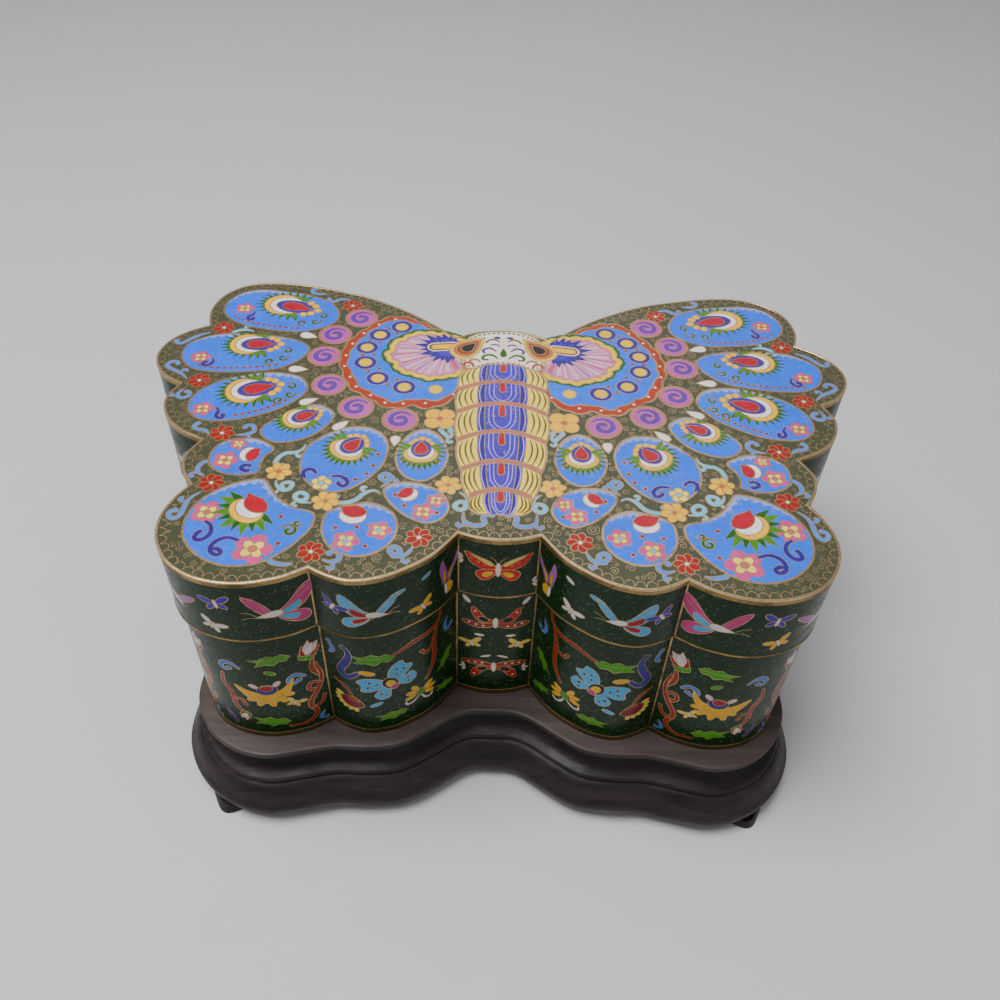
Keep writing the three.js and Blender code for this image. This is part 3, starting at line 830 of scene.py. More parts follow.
def scallops(art, loop, starts, depth, pitch):
    edges = starts + [starts[0] + len(loop)]
    for a, b in zip(edges, edges[1:]):
        run = [loop[i % len(loop)] for i in range(a, b + 1)]
        length = sum(math.dist(p, q) for p, q in zip(run, run[1:]))
        points = resample(run, length / max(2, round(length / pitch)) / 8)
        for i in range(0, len(points) - 8, 8):
            arc = []
            for k in range(9):
                p, q = points[i + k - (k == 8)], points[i + k + (k < 8)]
                d = math.dist(p, q) or 1
                lift = depth * math.sqrt(max(0, 1 - (k / 4 - 1) ** 2)) + 0.5
                arc.append((points[i + k][0] - (q[1] - p[1]) / d * lift,
                            points[i + k][1] + (q[0] - p[0]) / d * lift))
            art.line(arc, 0.32)


def lidPicture(outline):
    art = Inlay()
    border = outline.at(-lidLook["rimWidth"] + 0.15)
    art.fill(border, "ground", 1.0)
    scallops(art, outline.at(-lidLook["rimWidth"]), outline.notches, lidLook["scallopDepth"],
             lidLook["scallopPitch"])
    art.groundCount = len(art.loops)
    for side in (1, -1):
        for tint, points in curls:
            line = curlOn(softLine(points, 0.8), 2.5, 0.4, 0.5)
            line = [(side * x, y) for x, y in line]
            art.band(line, 2.1, tint, 0.3, 0.95, 0.4, 0.5, 0.6)
            art.areas.append(strokeLoop(line, 3.2))
            if len(points) > 3:  # a second, smaller curl branches off the other way
                k = len(line) // 4
                a, b = line[k], line[k + 1]
                bend = sum((line[i][0] - line[i - 1][0]) * (line[i + 1][1] - line[i][1]) -
                           (line[i][1] - line[i - 1][1]) * (line[i + 1][0] - line[i][0])
                           for i in range(1, len(line) // 2))
                heading = math.atan2(b[1] - a[1], b[0] - a[0]) - math.copysign(0.7, bend)
                stem = [(a[0] + t * math.cos(heading - math.copysign(0.16 * t, bend)),
                         a[1] + t * math.sin(heading - math.copysign(0.16 * t, bend)))
                         for t in (0, 0.9, 1.8, 2.6)]
                branch = curlOn(stem, 1.3, 0.5)
                art.band(branch, 1.5, tint, 0.8, 0.9, 0.35, 0.5, 0.55)
                art.band(line, 2.1, tint, 0.3, 0.95, 0.4, 0.5, 0.6)
                art.areas.append(strokeLoop(branch, 2.4))
        for x, y in redFlowers:
            flower(art, placer(x, y, 15, 1.0, side), 5.3, 7, "madder", "white", 0.2, 0.52, 0.4, 0.17)
            art.areas.append(ellipseLoop(side * x, y, 5, 5, 0, 16))
        for x, y, size, petals in yellowFlowers:
            flower(art, placer(x, y, 45 if petals == 4 else 10, 1.0, side), size * 1.14, petals, "amber",
                   "orangeBrown", 0.0, 0.56, 0.45, 0.2)
            art.areas.append(ellipseLoop(side * x, y, size, size, 0, 16))
        for x, y, deg, length, half in drops:
            drop = placer(x, y, deg, 1.0, side)(dropLoop(-length / 2, length / 2, half, 22))
            art.cell(drop, "white", 0.6)
            art.areas.append(drop)
        for x, y in roundels:
            roundel(art, x, y, side)
        for panel in panels:
            wingPanel(art, panel, side)
        fan(art, side)
    body(art)
    head(art)
    print("lid picture: ground spirals", spirals(art, outline.at(-4.2), 12000, 3.3, 0.8))
    return art


# Metal, lining and wood. A section, given as (offset from the loop, height), is extruded from ring to ring.
# It closes on itself or, with caps, at both ends.
def ringPiece(name, loop, profile, materials, caps=False, sharpDeg=32, slots=None):
    bm = bmesh.new()
    order = bm.verts.layers.int.new("order")
    rings = [[place3(x, y, z) for x, y in offsetLoop(loop, offset)] for offset, z in profile]
    start = [bm.verts.new(point) for point in rings[0]]
    for i, vert in enumerate(start):
        vert[order] = i
    edges = [bm.edges.new((vert, start[i - 1])) for i, vert in enumerate(start)]
    for row, ring in enumerate(rings[1:] if caps else rings[1:] + rings[:1]):
        grown = bmesh.ops.extrude_edge_only(bm, edges=edges)["geom"]
        ends = [part for part in grown if isinstance(part, bmesh.types.BMVert)]
        for vert in ends:
            vert.co = ring[vert[order]]
        for part in grown:
            if isinstance(part, bmesh.types.BMFace) and slots:
                part.material_index = slots[min(row, len(slots) - 1)]
        edges = [part for part in grown if isinstance(part, bmesh.types.BMEdge) and part.is_boundary]
    if caps:
        for ring in (start, ends):
            face = bm.faces.new(sorted(ring, key=lambda vert: vert[order]))
            face.material_index = slots[-1] if slots else 0
    else:
        bmesh.ops.remove_doubles(bm, verts=bm.verts, dist=1e-7)
    bmesh.ops.recalc_face_normals(bm, faces=bm.faces)
    for face in bm.faces:
        face.smooth = True
    for edge in bm.edges:
        edge.smooth = edge.calc_face_angle(0) < math.radians(sharpDeg)
    bm.verts.layers.int.remove(order)
    mesh = bpy.data.meshes.new(name)
    bm.to_mesh(mesh)
    bm.free()
    for material in materials:
        mesh.materials.append(material)
    piece = bpy.data.objects.new(name, mesh)
    bpy.context.collection.objects.link(piece)
    return piece


def joinPieces(name, parts):
    with bpy.context.temp_override(active_object=parts[0], object=parts[0], selected_editable_objects=parts):
        bpy.ops.object.join()
    parts[0].name = name
    parts[0].data.name = name
    return parts[0]


def wallParts(outline, offset, z0, z1, paint):
    loop = outline.at(offset)
    notches = outline.notches
    parts = []
    for k, first in enumerate(notches):
        last = notches[(k + 1) % len(notches)]
        span = last - first if last > first else last + len(loop) - first
        run = [loop[(first + i) % len(loop)] for i in range(span + 1)]
        marks = [0.0]
        for a, b in zip(run, run[1:]):
            marks.append(marks[-1] + math.dist(a, b))
        sides = []
        for a, b in zip(run, run[1:]):
            d = math.dist(a, b)
            sides.append(((b[1] - a[1]) / d, -(b[0] - a[0]) / d))
        tips = [((a[0] + b[0]) / 2, (a[1] + b[1]) / 2) for a, b in zip(sides, sides[1:])]
        tips = [sides[0]] + tips + [sides[-1]]

        def find(s, marks=marks):
            i = min(max(0, next((i for i, m in enumerate(marks) if m > s), len(marks) - 1) - 1),
                    len(marks) - 2)
            return i, min(1, max(0, (s - marks[i]) / (marks[i + 1] - marks[i])))

        def place(s, z, run=run, find=find):
            i, t = find(s)
            a, b = run[i], run[i + 1]
            return place3(a[0] + (b[0] - a[0]) * t, a[1] + (b[1] - a[1]) * t, z)

        def normalAt(s, z, tips=tips, find=find):
            i, t = find(s)
            a, b = tips[i], tips[i + 1]
            return Vector((a[0] + (b[0] - a[0]) * t, a[1] + (b[1] - a[1]) * t, 0)).normalized()
        art = Inlay()
        length = marks[-1]
        art.fill([(0, z0), (length, z0), (length, z1), (0, z1)], "wire", 0.2)
        strip = boxLook["cornerStrip"] / 2
        art.fill([(strip, z0), (length - strip, z0), (length - strip, z1), (strip, z1)], "groundDark", 1.0)
        for _ in range(int(length * (z1 - z0) / 26)):  # small dots of wire in the bare ground
            x, z = random.uniform(1, length - 1), random.uniform(z0 + 1, z1 - 1)
            r = random.uniform(0.08, 0.17)
            art.fill(ellipseLoop(x, z, r, r, 0, 5), random.choice(("wire", "peri", "ivory")), 0.2)
        paint(art, k, length, z0, z1)
        art.extra = [((m, z0), (m, z1)) for m in marks[1:-1]]
        parts.append((art, place, normalAt, True))
    return parts


# Wall pictures: butterflies, vines and flowers on the panels between two strips.
def wing(art, put, points, tint, spotTint=None, spots=()):
    art.cell(put(closedSpline(points, 0.7)), tint, 0.35)
    for x, y, r in spots:
        art.cell(put(ellipseLoop(x, y, r, r * 0.8, 0, 9)), spotTint, 0.22)


def openButterfly(art, put, big, small, lace, belly="white", dotted=None):
    for m in (1, -1):
        def half(loop, m=m):
            return put([(m * x, y) for x, y in loop])
        wing(art, half, [(0.8, 0.6), (3, 3.6), (8, 6.2), (13.4, 7.6), (12.4, 4.6), (10.6, 1.6), (6, -0.6),
                         (1.2, -0.8)], big)
        art.cell(half(closedSpline([(2.4, 2.6), (6, 5.0), (11.4, 6.8), (7, 4.0), (3, 1.4)], 0.7)), lace, 0.3)
        wing(art, half, [(0.8, -0.8), (5, -0.8), (8.4, -2.2), (8.6, -5), (6, -7.2), (3.4, -6.4), (1.2, -3.4)],
             big)
        art.cell(half(closedSpline([(2, -2.2), (5, -2.4), (6.4, -4.2), (5, -5.4), (3.2, -4.6)], 0.6)), small,
                 0.3)
        for x, y in ((5.4, 1.6), (8, 2.9), (10.4, 4.6)):
            art.cell(half(ellipseLoop(x, y, 0.55, 0.5, 0, 8)), dotted or "black", 0.2)
        art.line(half([(0.4, 3.2), (1.6, 5.2), (3.4, 6.6)]), 0.25)
    art.cell(put(ellipseLoop(0, -0.6, 1.1, 4.0, 0, 16)), belly, 0.3)


def lacedButterfly(art, put):  # the box's own red pair, black eyes and white dots
    for m in (1, -1):
        def half(loop, m=m):
            return put([(m * x, y) for x, y in loop])
        wing(art, half, [(0.8, 0.4), (3.4, 1.6), (5.6, 4.6), (8.4, 7.0), (8.8, 4.4), (7.4, 1.0), (5, -1.2),
                         (1, -1.4)], "scarletDeep")
        wing(art, half, [(1, -1), (5, -1.6), (9.6, -1.0), (12.6, -2.0), (10.4, -3.6), (5.6, -4.2), (1.2, -3)],
             "brick")
        art.cell(half(ellipseLoop(4.4, 0.8, 2.2, 1.3, 25, 14)), "black", 0.3)
        for x, y in ((7.4, 4.6), (4.4, -2.9), (7, -2.7), (9.6, -2.2)):
            art.cell(half(ellipseLoop(x, y, 0.5, 0.5, 0, 8)), "white", 0.2)
    art.cell(put(ellipseLoop(0, -0.8, 1.0, 2.9, 0, 14)), "white", 0.3)


def flyingButterfly(art, put, wings, inner, belly="white", veins="wire"):
    wing(art, put, [(0, 0), (-1.4, 4), (-4.2, 8.2), (-7.6, 10.4), (-6.8, 6.8), (-4.4, 2.6), (-1.6, -0.4)],
         wings)
    wing(art, put, [(0.4, 0), (5, 3), (9.8, 7.6), (13.6, 9.2), (14.2, 6), (11.6, 1.6), (7, -1.2), (2, -1.4)],
         wings)
    wing(art, put, [(2, -1), (7, -1.4), (10.6, -3.4), (11, -6.6), (8, -7.6), (4.4, -5.6), (1.6, -2.8)], wings)
    art.cell(put(closedSpline([(1, -0.4), (5.4, 1.6), (9, 2.8), (8.6, 0.2), (5, -1.2)], 0.7)), inner, 0.3)
    art.cell(put(closedSpline([(1.6, -1.6), (5, -2.0), (7.6, -3.4), (6.8, -5.2), (4, -4.2)], 0.7)), inner,
             0.3)
    for p in ([(3, 1.6), (8, 5.4), (12, 8)], [(4, 1.2), (9, 4), (13, 6.4)],
              [(-1.6, 2), (-3.6, 5.6), (-6, 8.4)]):
        art.line(put(openSpline(p, 0.9)), 0.22)
    art.cell(put(dropLoop(-5.2, 3.2, 1.5, 18)), belly, 0.3)
    art.line(put(openSpline([(-5, 0.4), (-7, 2.4), (-9.4, 3.2)], 0.8)), 0.25)
    art.line(put(openSpline([(-5, -0.4), (-7.4, 0.4), (-9.8, -0.2)], 0.8)), 0.25)


def foldedButterfly(art, put, outer, inner):
    for x, lean in ((-1.2, -3.4), (1.6, 2.6)):
        wing(art, put, [(x, 0), (x - 1.4, 4), (x + lean * 0.6 - 1.2, 9), (x + lean, 13.4),
                        (x + lean * 0.8 + 1.4, 9), (x + 1.9, 4)], outer)
        art.cell(put(closedSpline([(x, 1), (x - 0.5, 4), (x + lean * 0.5, 8.6), (x + 0.9, 4)], 0.7)), inner,
                 0.3)
    wing(art, put, [(-1.6, 0.4), (-3.6, -1.6), (-3.4, -4.4), (-1.2, -5.4), (0.6, -3), (0.8, 0)], inner)
    art.cell(put(ellipseLoop(0.2, -2.6, 0.9, 3.2, -14, 14)), "white", 0.3)


def smallButterfly(art, put, tint):
    for m in (1, -1):
        art.cell(put([(m * x, y) for x, y in ellipseLoop(2.6, 1.4, 2.6, 1.1, 28, 16)]), tint, 0.3)
        art.cell(put([(m * x, y) for x, y in ellipseLoop(1.8, -1.2, 1.7, 0.9, -40, 14)]), tint, 0.3)
    art.cell(put(ellipseLoop(0, -0.2, 0.6, 1.9, 0, 12)), "white" if tint != "white" else "ivory", 0.25)


def petals(art, put, tint="white"):
    for deg in (60, 5, -50):
        c, s = math.cos(math.radians(deg)), math.sin(math.radians(deg))
        art.cell(put(ellipseLoop(2.6 * c, 2.6 * s, 1.9, 0.95, deg, 14)), tint, 0.3)


def leaf(art, put, tint="lightGreen"):
    art.cell(put([(-6, 0), (-3.6, 1.9), (-1.6, 1.4), (0.4, 2.5), (2.4, 1.3), (6.6, 1.5), (3.4, 0), (5, -1.7),
                  (1.4, -1.3), (-0.6, -2.4), (-2.4, -1.2), (-4.4, -1.6)]), tint, 0.35)
    art.line(put([(-5.4, 0), (-1, 0.3), (4, 0.6)]), 0.25)


def bud(art, put):
    for x, y, deg, tint in ((-1.6, 1.6, 118, "red"), (1.6, 1.6, 62, "red"), (-0.9, 3.4, 104, "pinkWhite"),
                            (1.0, 3.6, 76, "pinkWhite"), (0, 2.6, 90, "white")):
        art.cell(put(placer(x, y, deg)(dropLoop(2.6, -2.4, 1.3, 16))), tint, 0.3)
    for m in (1, -1):
        art.cell(put([(0, -2.2), (m * 2.2, -1.6), (m * 3.0, 0.4), (m * 1.0, -0.4), (0, 0.2)]), "lightGreen",
                 0.3)


def spottedButterfly(art, put):  # the light blue one with black spots
    for m in (1, -1):
        def half(loop, m=m):
            return put([(m * x, y) for x, y in loop])
        wing(art, half, [(0.8, 1), (2, 4.6), (5.4, 7.4), (9, 7), (8.8, 4), (10.4, 1.4), (7, -0.6), (2, -1)],
             "skyBlue", "black",
             ((5.4, 4.4, 0.7), (7.2, 2.2, 0.7), (4, 2, 0.6)))
        wing(art, half, [(1, -1), (5, -1.4), (8, -3.6), (7.4, -6.8), (4.4, -7.6), (2.4, -5)], "skyBlue",
             "black",
             ((5.6, -3.8, 0.7), (4.6, -5.8, 0.6)))
    art.cell(put(ellipseLoop(0, -0.6, 2.6, 3.6, 0, 20)), "black", 0.3)
    art.cell(put(ellipseLoop(0, -1, 1.6, 2.2, 0, 16)), "yellowCream", 0.3)
    art.cell(put(ellipseLoop(0, -3.6, 1.6, 1.3, 0, 14)), "pink", 0.3)


def phoenixFlower(art, put):  # a yellow crescent figure round a blue and red heart
    art.cell(put(closedSpline([(-9, 5), (-7.2, 0), (-4, -4.2), (1, -5.6), (6, -3.8), (9.4, 1.2), (10.6, 5),
                               (7, 2.4), (3.6, 0.6),
                               (0.4, 1.4), (-3.4, 0.4), (-6.4, 2.2)], 0.8)), "yellow", 0.4)
    for deg in (200, 235, 270, 305, 340):
        c, s = math.cos(math.radians(deg)), math.sin(math.radians(deg))
        art.cell(put(ellipseLoop(0.5 + 6.2 * c, -1 + 4.6 * s, 2.2, 1.2, deg, 14)), "amber", 0.3)
    art.cell(put(ellipseLoop(0.4, 1.6, 3.4, 2.6, 0, 20)), "ultra", 0.3)
    art.cell(put(ellipseLoop(0.4, 2.4, 2.1, 1.6, 0, 16)), "red", 0.3)
    art.cell(put(ellipseLoop(-3.4, 4.0, 1.7, 1.0, 140, 12)), "pinkWhite", 0.3)
    art.cell(put(ellipseLoop(4.2, 4.2, 1.7, 1.0, 40, 12)), "pinkWhite", 0.3)


def fanFlower(art, put):
    for i in range(7):
        deg = -150 + 20 * i + 90 - 30
        c, s = math.cos(math.radians(deg - 90 + 60)), math.sin(math.radians(deg - 90 + 60))
        art.cell(put(ellipseLoop(6.2 * c, 6.2 * s, 2.0, 1.25, deg - 30, 14)), "cream", 0.3)
    art.cell(put([(5.4 * math.cos(math.radians(d)), 5.4 * math.sin(math.radians(d)))
                  for d in range(-170, -9, 16)] +
                 [(3, 1.2), (0, 2.2), (-3, 1.2)]), "wine", 0.35)
    art.cell(put(ellipseLoop(0, 0.6, 2.6, 1.1, 0, 14)), "brick", 0.3)


def pairFlower(art, put):
    for m in (1, -1):
        for deg in (-20, 14, 48):
            c, s = math.cos(math.radians(deg)), math.sin(math.radians(deg))
            art.cell(put([(m * x, y) for x, y in ellipseLoop(4.2 * c, 4.2 * s - 0.6, 2.3, 1.15, deg, 14)]),
                     "yellow", 0.3)
        line = [(m * x, y) for x, y in openSpline([(0.6, -2.6), (2.6, -5.2), (5, -5.6), (5.6, -3.8)], 0.8)]
        art.band(put(line), 1.1, "white", 0.6, 0.9, 0.28)
    art.cell(put(ellipseLoop(0, -0.6, 1.5, 2.2, 0, 14)), "lightGreen", 0.3)


def vine(art, put, points, width=1.7, tint="brick", bulb=0.0):
    art.band(put(softLine(points, 0.9)), width * 1.35, tint, 0.45, 0.55, 0.32, 0.4, bulb)


def at(put, x, y, deg=0, scale=1.0, side=1):
    inner = placer(x, y, deg, scale, side)

    def place(loop):
        return put([(u if side == 1 else 2 * x + u, v) for u, v in inner(loop)])
    return place


def lidWall(art, k, length, z0, z1):
    turned = k > 6 and k != 13
    k = 12 - k if turned else k

    def put(loop):
        return [(length - x, y + z0) for x, y in loop] if turned else [(x, y + z0) for x, y in loop]
    if k in (6, 13):
        openButterfly(art, at(put, length / 2, 17, 0, 1.0), "scarlet" if k == 13 else "brick", "yellowCream",
                      "cream")
        petals(art, at(put, 2.2, 20, 180, 0.8), "white")
        petals(art, at(put, length - 2.2, 7, 0, 0.8), "white")
    elif k == 0:
        foldedButterfly(art, at(put, 7.2, 11, 8, 1.1), "lilac", "amber")
        smallButterfly(art, at(put, 20, 7.6, -24, 1.15), "white" if not turned else "yellow")
        art.cell(at(put, 18, 24, -28)(ellipseLoop(0, 0, 2.4, 1.0, 0, 14)), "white" if not turned
                 else "skyBlue", 0.3)
        art.cell(at(put, 30.5, 21.4, -16)(ellipseLoop(0, 0, 3.6, 1.2, 0, 16)), "skyBlue", 0.3)
        flyingButterfly(art, at(put, 40, 12.6, 10, 1.05), "skyBlue", "red")
        smallButterfly(art, at(put, 56, 16.5, 30, 1.15), "bodyBlue")
    elif k == 1:
        flyingButterfly(art, at(put, 15.5, 14, 6, 1.2, -1), "pink", "skyBlue")
        smallButterfly(art, at(put, 36, 21, -10, 1.3), "bodyBlue")
        smallButterfly(art, at(put, 39.5, 7.4, 24, 1.15), "yellow" if not turned else "white")
        flyingButterfly(art, at(put, 56, 14, 26, 1.0), "lilac", "amber")
        smallButterfly(art, at(put, 74, 8, 0, 1.15), "white")
        flyingButterfly(art, at(put, 85, 18, -8, 0.95, -1), "skyBlue", "ultra")
    elif k == 2:
        smallButterfly(art, at(put, length * 0.3, 9, 20, 1.3), "yellow")
        foldedButterfly(art, at(put, length * 0.66, 14, -10, 0.9), "pink", "cream")
    elif k == 3:
        flyingButterfly(art, at(put, length * 0.36, 13, 8, 1.05), "skyBlue", "red")
        smallButterfly(art, at(put, length * 0.82, 20, -20, 1.2), "white")
    elif k == 4:
        flyingButterfly(art, at(put, length * 0.32, 15, 0, 1.1, -1), "pink", "skyBlue")
        smallButterfly(art, at(put, length * 0.64, 8, 16, 1.2), "yellow")
        foldedButterfly(art, at(put, length * 0.86, 12, 6, 1.0), "lilac", "amber")
    else:
        for i, (outer, inner) in enumerate((("skyBlue", "red"), ("pink", "skyBlue"), ("lilac", "amber"),
                                            ("skyBlue", "red"),
                                            ("pink", "ultra"))):
            flyingButterfly(art, at(put, length * (0.12 + 0.19 * i), 13 + 4 * (i % 2), 8 - 14 * (i % 2), 1.05,
                                    1 if i % 2 else -1), outer, inner)
            smallButterfly(art, at(put, length * (0.03 + 0.19 * i), 21 - 12 * (i % 2), 20 - 30 * (i % 2),
                                   1.1),
                           ("white", "yellow", "bodyBlue")[i % 3])


def boxWall(art, k, length, z0, z1):
    turned = k > 6 and k != 13
    k = 12 - k if turned else k
    tall = z1 - z0

    def put(loop):
        return [(length - x, y + z0) for x, y in loop] if turned else [(x, y + z0) for x, y in loop]
    if k in (6, 13):
        mid = length / 2
        lacedButterfly(art, at(put, mid, tall * 0.75, 0, 1.18))
        for m in (-1, 1):
            art.cell(at(put, mid + m * length * 0.37, tall * 0.93,
                        m * 52)(ellipseLoop(0, 0, 2.6, 1.1, 0, 14)), "white", 0.3)
            art.cell(at(put, mid + m * length * 0.2, tall * 0.6)(ellipseLoop(0, 0, 2.2, 0.8, 0, 12)), "white",
                     0.3)
            smallButterfly(art, at(put, mid + m * length * 0.3, tall * 0.5, -20 * m, 1.1), "cream")
            petals(art, at(put, mid + m * length * 0.37, tall * 0.22, 0 if m > 0 else 180, 0.75), "white")
            art.cell(at(put, mid + m * length * 0.11, tall * 0.38,
                        -20 * m)(ellipseLoop(0, 0, 2.6, 0.7, 0, 12)), "white", 0.25)
        flip = at(put, mid, tall * 0.25, 0, 1.18)
        lacedButterfly(art, lambda loop: flip([(x, -y) for x, y in loop]))
    elif k in (0, 3, 5):
        spans = [(0, length)] if k != 5 else [(0, length / 2), (length / 2, length)]
        for a, b in spans:
            w = (b - a) / 62

            def local(loop, a=a, w=w):
                return put([(a + x * w if abs(w - 1) > 0.25 else a + x * w, y) for x, y in loop])
            vine(art, local, [(10, 64), (11, 58), (16, 54.5), (24, 53.8), (33, 50.5)])
            vine(art, local, [(12, 57), (14.6, 48), (14, 38), (15.6, 30), (19, 24)])
            vine(art, local, [(14.4, 46), (18.4, 41.5), (20.4, 45)], 1.3, "brick", 0.6)
            vine(art, local, [(6.4, 55), (8.4, 50), (6, 45.5), (3.8, 48.4)], 1.6, "peri", 0.6)
            leaf(art, at(local, 41, 50, 4, 1.5))
            leaf(art, at(local, 8, 28, -58, 1.15))
            vine(art, local, [(53, 58), (49.6, 54), (51.6, 47), (55.4, 41), (52, 36), (47, 41.6)], 2.6,
                 "ultra")
            vine(art, local, [(59, 50), (56.4, 53), (58.6, 57.5)], 1.6, "peri", 0.6)
            spottedButterfly(art, at(local, 35, 33, -28, 1.18))
            art.cell(at(local, 43.6, 41.4, 20)(ellipseLoop(0, 0, 3.4, 1.5, 0, 14)), "amber", 0.3)
            art.cell(at(local, 25, 33, 60)(ellipseLoop(0, 0, 2.8, 1.3, 0, 14)), "skyBlue", 0.3)
            art.cell(at(local, 41, 18.5, -24)(ellipseLoop(0, 0, 3.0, 1.2, 0, 14)), "skyBlue", 0.3)
            pairFlower(art, at(local, 21.5, 17.6, 10, 1.15))
            fanFlower(art, at(local, 50.5, 21, 24, 1.05))
            vine(art, local, [(50.6, 23.4), (53, 29.4), (58.4, 33)], 1.3)
            leaf(art, at(local, 8.6, 9, 24, 1.1))
            leaf(art, at(local, 35, 8.4, -4, 1.15))
    else:
        count = max(1, round(length / 62)) if k != 2 else 1
        for i in range(count):
            a, w = length * i / count, (length / count) / 50

            def local(loop, a=a, w=w):
                return put([(a + x * w, y) for x, y in loop])
            vine(art, local, [(3.6, 34), (6.4, 40), (5, 47)], 1.6)
            vine(art, local, [(4.4, 43), (1.8, 33), (5, 24), (10.4, 16.6), (5.6, 9), (11, 3.6), (20, 4)])
            vine(art, local, [(3.4, 29), (7.6, 31.6), (9.4, 27.4), (7, 25.6)], 1.4, "brick", 0.6)
            vine(art, local, [(8.6, 13), (3.6, 14.4), (2.6, 19)], 1.3, "brick", 0.5)
            vine(art, local, [(9, 36.6), (13, 40.4), (17, 36.6), (14.4, 33.4), (12, 35.6)], 1.7, "peri", 0.55)
            vine(art, local, [(3.6, 8), (6.4, 3.6), (3, 2.4)], 1.5, "peri", 0.6)
            bud(art, at(local, 7, 49.5, 22, 1.45))
            leaf(art, at(local, 22, 51.5, -8, 1.4))
            phoenixFlower(art, at(local, 25, 30, -8, 1.3))
            art.cell(at(local, 23, 43.4, 30)(ellipseLoop(0, 0, 2.6, 1.2, 0, 14)), "lightGreen", 0.3)
            vine(art, local, [(35, 46), (39.4, 50.4), (44, 47), (42, 43.6), (39.6, 45.6)], 1.7, "peri", 0.55)
            leaf(art, at(local, 27, 8.6, 6, 1.4))
            vine(art, local, [(36, 12), (42, 18), (41, 27), (45, 34), (43.6, 41)])
            vine(art, local, [(41.6, 23), (37.6, 24.6), (36.6, 20.6)], 1.3, "brick", 0.6)
            bud(art, at(local, 37.6, 13.4, -160, 0.9))
            smallButterfly(art, at(local, 15.4, 20.6, 30, 0.95), "cream")
            leaf(art, at(local, 45.4, 8, 60, 0.8), "ultra")


# Materials.
class Finish:  # a node material on object coordinates, in metres
    def __init__(self, name, metallic=0.0, specular=0.5):
        self.material = bpy.data.materials.new(name)
        self.material.use_nodes = True
        self.nodes, self.links = self.material.node_tree.nodes, self.material.node_tree.links
        self.shader = self.nodes["Principled BSDF"]
        self.shader.inputs["Metallic"].default_value = metallic
        self.shader.inputs["Specular IOR Level"].default_value = specular
        self.coords = self.nodes.new("ShaderNodeTexCoord").outputs["Object"]
        self.bumps = None

    def noise(self, scale, detail=3.0, rough=0.55, stretch=None, distort=0.0):
        node = self.nodes.new("ShaderNodeTexNoise")
        node.inputs["Scale"].default_value = scale
        node.inputs["Detail"].default_value = detail
        node.inputs["Roughness"].default_value = rough
        node.inputs["Distortion"].default_value = distort
        source = self.coords
        if stretch:
            mapping = self.nodes.new("ShaderNodeMapping")
            mapping.inputs["Scale"].default_value = stretch
            self.links.new(source, mapping.inputs["Vector"])
            source = mapping.outputs["Vector"]
        self.links.new(source, node.inputs["Vector"])
        return node.outputs["Fac"]

    def cells(self, scale):
        node = self.nodes.new("ShaderNodeTexVoronoi")
        node.inputs["Scale"].default_value = scale
        self.links.new(self.coords, node.inputs["Vector"])
        return node.outputs["Distance"]

    def remap(self, value, low, high, outLow=0.0, outHigh=1.0):
        node = self.nodes.new("ShaderNodeMapRange")
        for name, number in (("From Min", low), ("From Max", high), ("To Min", outLow), ("To Max", outHigh)):
            node.inputs[name].default_value = number
        self.links.new(value, node.inputs["Value"])
        return node.outputs["Result"]

    def math(self, kind, a, b):
        node = self.nodes.new("ShaderNodeMath")
        node.operation = kind
        for socket, value in zip(node.inputs, (a, b)):
            if isinstance(value, (int, float)):
                socket.default_value = value
            else:
                self.links.new(value, socket)
        return node.outputs["Value"]

    def mix(self, factor, a, b, kind="MIX"):
        node = self.nodes.new("ShaderNodeMix")
        node.data_type, node.blend_type = "RGBA", kind
        for socket, value in ((node.inputs["Factor"], factor), (node.inputs[6], a), (node.inputs[7], b)):
            if isinstance(value, (int, float)):
                socket.default_value = value
            elif isinstance(value, tuple):
                socket.default_value = value + (1,) * (4 - len(value))
            else:
                self.links.new(value, socket)
        return node.outputs[2]

    def bump(self, height, distance, strength=1.0):
        node = self.nodes.new("ShaderNodeBump")
        node.inputs["Distance"].default_value = distance
        node.inputs["Strength"].default_value = strength
        self.links.new(height, node.inputs["Height"])
        if self.bumps:
            self.links.new(self.bumps, node.inputs["Normal"])
        self.bumps = node.outputs["Normal"]
        self.links.new(self.bumps, self.shader.inputs["Normal"])

    def colour(self, value):
        self.links.new(value, self.shader.inputs["Base Color"])

    def roughness(self, value):
        self.links.new(value, self.shader.inputs["Roughness"])


